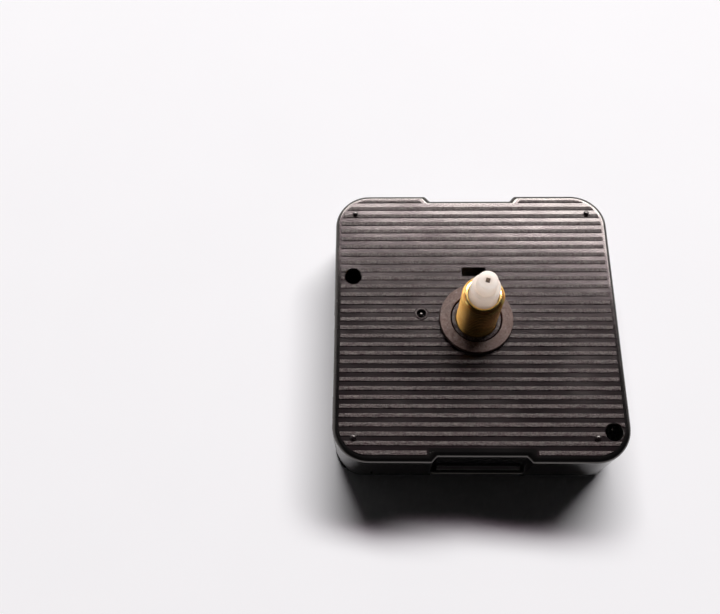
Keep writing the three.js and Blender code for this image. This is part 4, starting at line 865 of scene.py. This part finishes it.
# Battery contacts: two strips of nickel-plated spring steel at the ends of the battery bay, a flat
# plate with a pressed button for the plus end and a bowed leaf for the minus end. Their tails run
# to the board.
contact_top, contact_bottom, contact_low, contact_high = -14.6, -23.9, 2.2, 12.6
tail_low, tail_high, tail_overlap, strip_thickness = 9.4, 11.0, 0.4, 0.4
positive_tail, negative_tail, strip_reach = -7.0, -10.4, 16.5
button_profile, button_peak = [(2.2, -0.2), (2.1, 0.12), (1.85, 0.3), (1.4, 0.38)], 0.4
leaf_bow, leaf_steps, leaf_half_height = 2.4, 24, 2


def sheet_metal(name, colour, rough, brushed):
    look, tree, shader, place = graph(name)
    patches = noise(tree, place, 260, 4, 0.6)
    lines = noise(tree, place, 1400, 2, 0.5, brushed)
    shaded(tree, shader, {
        "Base Color": mixed(tree, ranged(tree, patches, 0, 1, 0.35, 0.7),
                            tuple(c * 0.8 for c in colour), colour),
        "Metallic": 1, "Roughness": ranged(tree, patches, rough - 0.06, rough + 0.1, 0.3, 0.7)})
    raised(tree, shader, lines, 0.000006, 0.5)
    return look


nickel = sheet_metal("nickel plate", (0.66, 0.64, 0.58), 0.26, (1, 1, 8))


def contact_plate(side, tail_end):
    across = sorted((side * (bay_end - strip_thickness), side * bay_end))
    plate = block("plate", across, (contact_bottom, contact_top), (contact_low, contact_high))
    return join(plate, block("tail", across, (contact_top - tail_overlap, tail_end), (tail_low, tail_high)))


bay_middle, contact_middle = (bay_bottom + bay_top) / 2, (contact_low + contact_high) / 2
button = turned("button", button_profile, segments=40, peak=button_peak)
button.data.transform(
    Matrix.Translation((bay_end - strip_thickness, bay_middle, contact_middle))
    @ Matrix.Rotation(-math.pi / 2, 4, "Y"))
finished(join(contact_plate(1, positive_tail), button), "positive_contact_plate", "movement",
         "positive_contact", nickel)

leaf = []
for offset, order in ((0.15, 1), (-0.2, -1)):
    run = [(strip_thickness - bay_end + offset + leaf_bow * math.sin(math.pi * i / leaf_steps),
            contact_bottom + (contact_top - contact_bottom) * i / leaf_steps)
           for i in range(leaf_steps + 1)]
    leaf += run[::order]
negative = join(
    contact_plate(-1, negative_tail),
    loft("leaf", [[(x, y, z) for x, y in leaf] for z in span(leaf_half_height, contact_middle)]),
    block("strip", (-bay_end, strip_reach), (-10.6, -10.2), (tail_low, tail_high)))
finished(negative, "negative_contact_leaf", "movement", "negative_contact", nickel)

# Inside works: wheels, plates, motor and circuit lie sealed between the two halves of the case.
# Their shapes are right as they are, so each keeps its own solid and takes the finish of its real
# material: acetal, spring steel, soft iron, copper wire, glass-fibre board and resin.


def board_look():
    look, tree, shader, place = graph("circuit board")
    weave = tree.nodes.new("ShaderNodeTexVoronoi")
    weave.inputs["Scale"].default_value = 1500
    tree.links.new(place.outputs["Object"], weave.inputs["Vector"])
    shaded(tree, shader, {
        "Base Color": mixed(tree, noise(tree, place, 300, 3), (0.03, 0.14, 0.05), (0.06, 0.24, 0.09)),
        "Roughness": ranged(tree, noise(tree, place, 500, 2), 0.3, 0.5, 0.3, 0.7)})
    raised(tree, shader, weave.outputs["Distance"], 0.00001, 0.5)
    return look


def copper_look():
    look, tree, shader, place = graph("copper wire")
    turns = tree.nodes.new("ShaderNodeTexWave")
    turns.bands_direction = "X"
    turns.inputs["Scale"].default_value = 2400
    turns.inputs["Distortion"].default_value = 0.6
    tree.links.new(place.outputs["Object"], turns.inputs["Vector"])
    shaded(tree, shader, {
        "Base Color": mixed(tree, turns.outputs["Fac"], (0.32, 0.1, 0.035), (0.72, 0.3, 0.12)),
        "Metallic": 1, "Roughness": ranged(tree, noise(tree, place, 700, 2), 0.25, 0.45, 0.3, 0.7)})
    raised(tree, shader, turns.outputs["Fac"], 0.00004, 0.8)
    return look


gear_cream = milky("gear acetal", (0.82, 0.79, 0.7), 0.42)
iron = sheet_metal("motor iron", (0.4, 0.39, 0.38), 0.42, (1, 8, 1))
inside_looks = {
    gear_cream: ("motion_wheel", "centre_wheel", "third_wheel", "middle_wheel", "rotor_pinion",
                 "setting_shaft", "middle_plate", "rotor_bridge"),
    tube_white: ("coil_bobbin",),
    sheet_metal("spring steel", (0.5, 0.5, 0.51), 0.3, (8, 1, 1)): ("clutch_spring",),
    iron: ("stator", "coil_core"),
    sheet_metal("sintered magnet", (0.16, 0.16, 0.17), 0.5, (3, 3, 3)): ("rotor_magnet",),
    copper_look(): ("coil_winding",),
    board_look(): ("circuit_board",),
    moulded("chip resin", (0.012, 0.012, 0.013), 0.36, 2200, 0.00001, (0.03, 0.03, 0.03)): ("driver_chip",),
    nickel: ("quartz_crystal",)}
for look, names in inside_looks.items():
    for name in names:
        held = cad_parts[name]
        if not held.data.materials:
            held.data.materials.append(look)
        for place in held.material_slots:
            place.material = look

# Table, light and camera: the movement lies on a sheet of white paper. A wide soft window stands
# beyond its top edge with a strip of evening sky above, and the camera looks down on the face from
# a hand's breadth above the lower edge.
paper_half, white_start, white_end = 3, 0.22, 0.55


def paper_look():
    """White paper that passes into the plain white background where it runs far away."""
    look, tree, shader, place = graph("white paper")
    shaded(tree, shader, {
        "Base Color": mixed(tree, noise(tree, place, 40, 3), (0.915, 0.91, 0.935), (0.935, 0.93, 0.955)),
        "Roughness": 0.9, "Specular IOR Level": 0.2})
    raised(tree, shader, noise(tree, place, 3000, 2), 0.00001, 0.2)
    reach = distance(tree, *lengths(tree, place)[:2])
    rays = tree.nodes.new("ShaderNodeLightPath")
    far = figured(tree, "MULTIPLY", ranged(tree, reach, 0.0, 1.0, white_start, white_end),
                  rays.outputs["Is Camera Ray"])
    overlaid(tree, shader, far, tree.nodes.new("ShaderNodeEmission"))
    return look


paper = solid("paper", [(-paper_half, -paper_half, 0), (paper_half, -paper_half, 0),
                        (paper_half, paper_half, 0), (-paper_half, paper_half, 0)], [(0, 1, 2, 3)])
paper.data.materials.append(paper_look())

lamp_azimuth, lamp_distance, lamp_width = 79, 2.6, 2.3


def lamp(name, elevation, height, power, colour):
    """A wide soft light that faces the shaft. Its azimuth is in degrees from +X."""
    light = bpy.data.lights.new(name, "AREA")
    light.shape = "RECTANGLE"
    light.size, light.size_y = lamp_width, height
    light.energy, light.color = power, colour
    held = bpy.data.objects.new(name, light)
    bpy.context.scene.collection.objects.link(held)
    out, up = polar(lamp_distance, math.radians(elevation))
    held.location = (*polar(out, math.radians(lamp_azimuth)), up)
    held.rotation_euler = (-held.location).to_track_quat("-Z", "Y").to_euler()


lamp("window", 52.0, 0.52, 82.0, (0.985, 1.0, 0.972))
lamp("evening sky", 58.2, 0.27, 11.5, (1.0, 0.76, 0.9))

# The room's walls reflect softly in the gloss: a low band all round, brighter ahead, and a tall
# bright part ahead on the left. Anything the camera sees past the paper is plain white.
ahead_left = (-0.35, 0.94, 0.0)
low_wall_light, low_wall_degrees, tall_wall_degrees = (0.3, 0.02), (8, 26), (30, 50)
diffuse_share, glossy_share = 0.1, 1.0


def sines(degrees):
    return [math.sin(math.radians(angle)) for angle in degrees]


world = bpy.data.worlds.new("room")
bpy.context.scene.world = world
world.use_nodes = True
tree = world.node_tree
background = tree.nodes["Background"]
background.inputs["Color"].default_value = (1, 1, 1, 1)
rays = tree.nodes.new("ShaderNodeLightPath")
heading = tree.nodes.new("ShaderNodeTexCoord")
apart = tree.nodes.new("ShaderNodeSeparateXYZ")
tree.links.new(heading.outputs["Generated"], apart.inputs[0])
towards = tree.nodes.new("ShaderNodeVectorMath")
towards.operation = "DOT_PRODUCT"
towards.inputs[1].default_value = ahead_left
tree.links.new(heading.outputs["Generated"], towards.inputs[0])
level, facing = apart.outputs["Z"], towards.outputs["Value"]
low_wall = figured(tree, "MULTIPLY",
                   ranged(tree, level, *low_wall_light, *sines(low_wall_degrees)),
                   ranged(tree, facing, 0.5, 1.0, -0.5, 0.5))
tall_wall = ranged(tree, level, 1.0, 0.0, *sines(tall_wall_degrees))
wall_light = figured(tree, "MULTIPLY_ADD", ranged(tree, facing, 0.0, 1.0, -0.25, 0.65), tall_wall, low_wall)
room_light = figured(tree, "MULTIPLY", wall_light, ranged(
    tree, rays.outputs["Is Glossy Ray"], diffuse_share, glossy_share))
seen = figured(tree, "MAXIMUM", rays.outputs["Is Camera Ray"], rays.outputs["Is Transmission Ray"])
tree.links.new(figured(tree, "MAXIMUM", seen, room_light), background.inputs["Strength"])

camera_lens, sensor_width, nearest = 40.94, 36, 0.005
camera_place = (-0.020066, -0.060205, 0.166594)
ahead = Vector((-0.017268, 0.386401, -0.922169)).normalized()
right = ahead.cross(Vector((-0.000079, 0.922306, 0.386460))).normalized()
camera = bpy.data.objects.new("camera", bpy.data.cameras.new("camera"))
bpy.context.scene.collection.objects.link(camera)
camera.data.lens, camera.data.sensor_width = camera_lens, sensor_width
camera.data.clip_start = nearest
camera.matrix_world = (Matrix.Translation(camera_place)
                       @ Matrix((right, right.cross(ahead), -ahead)).transposed().to_4x4())
bpy.context.scene.camera = camera
bpy.context.scene.view_settings.view_transform = "Standard"
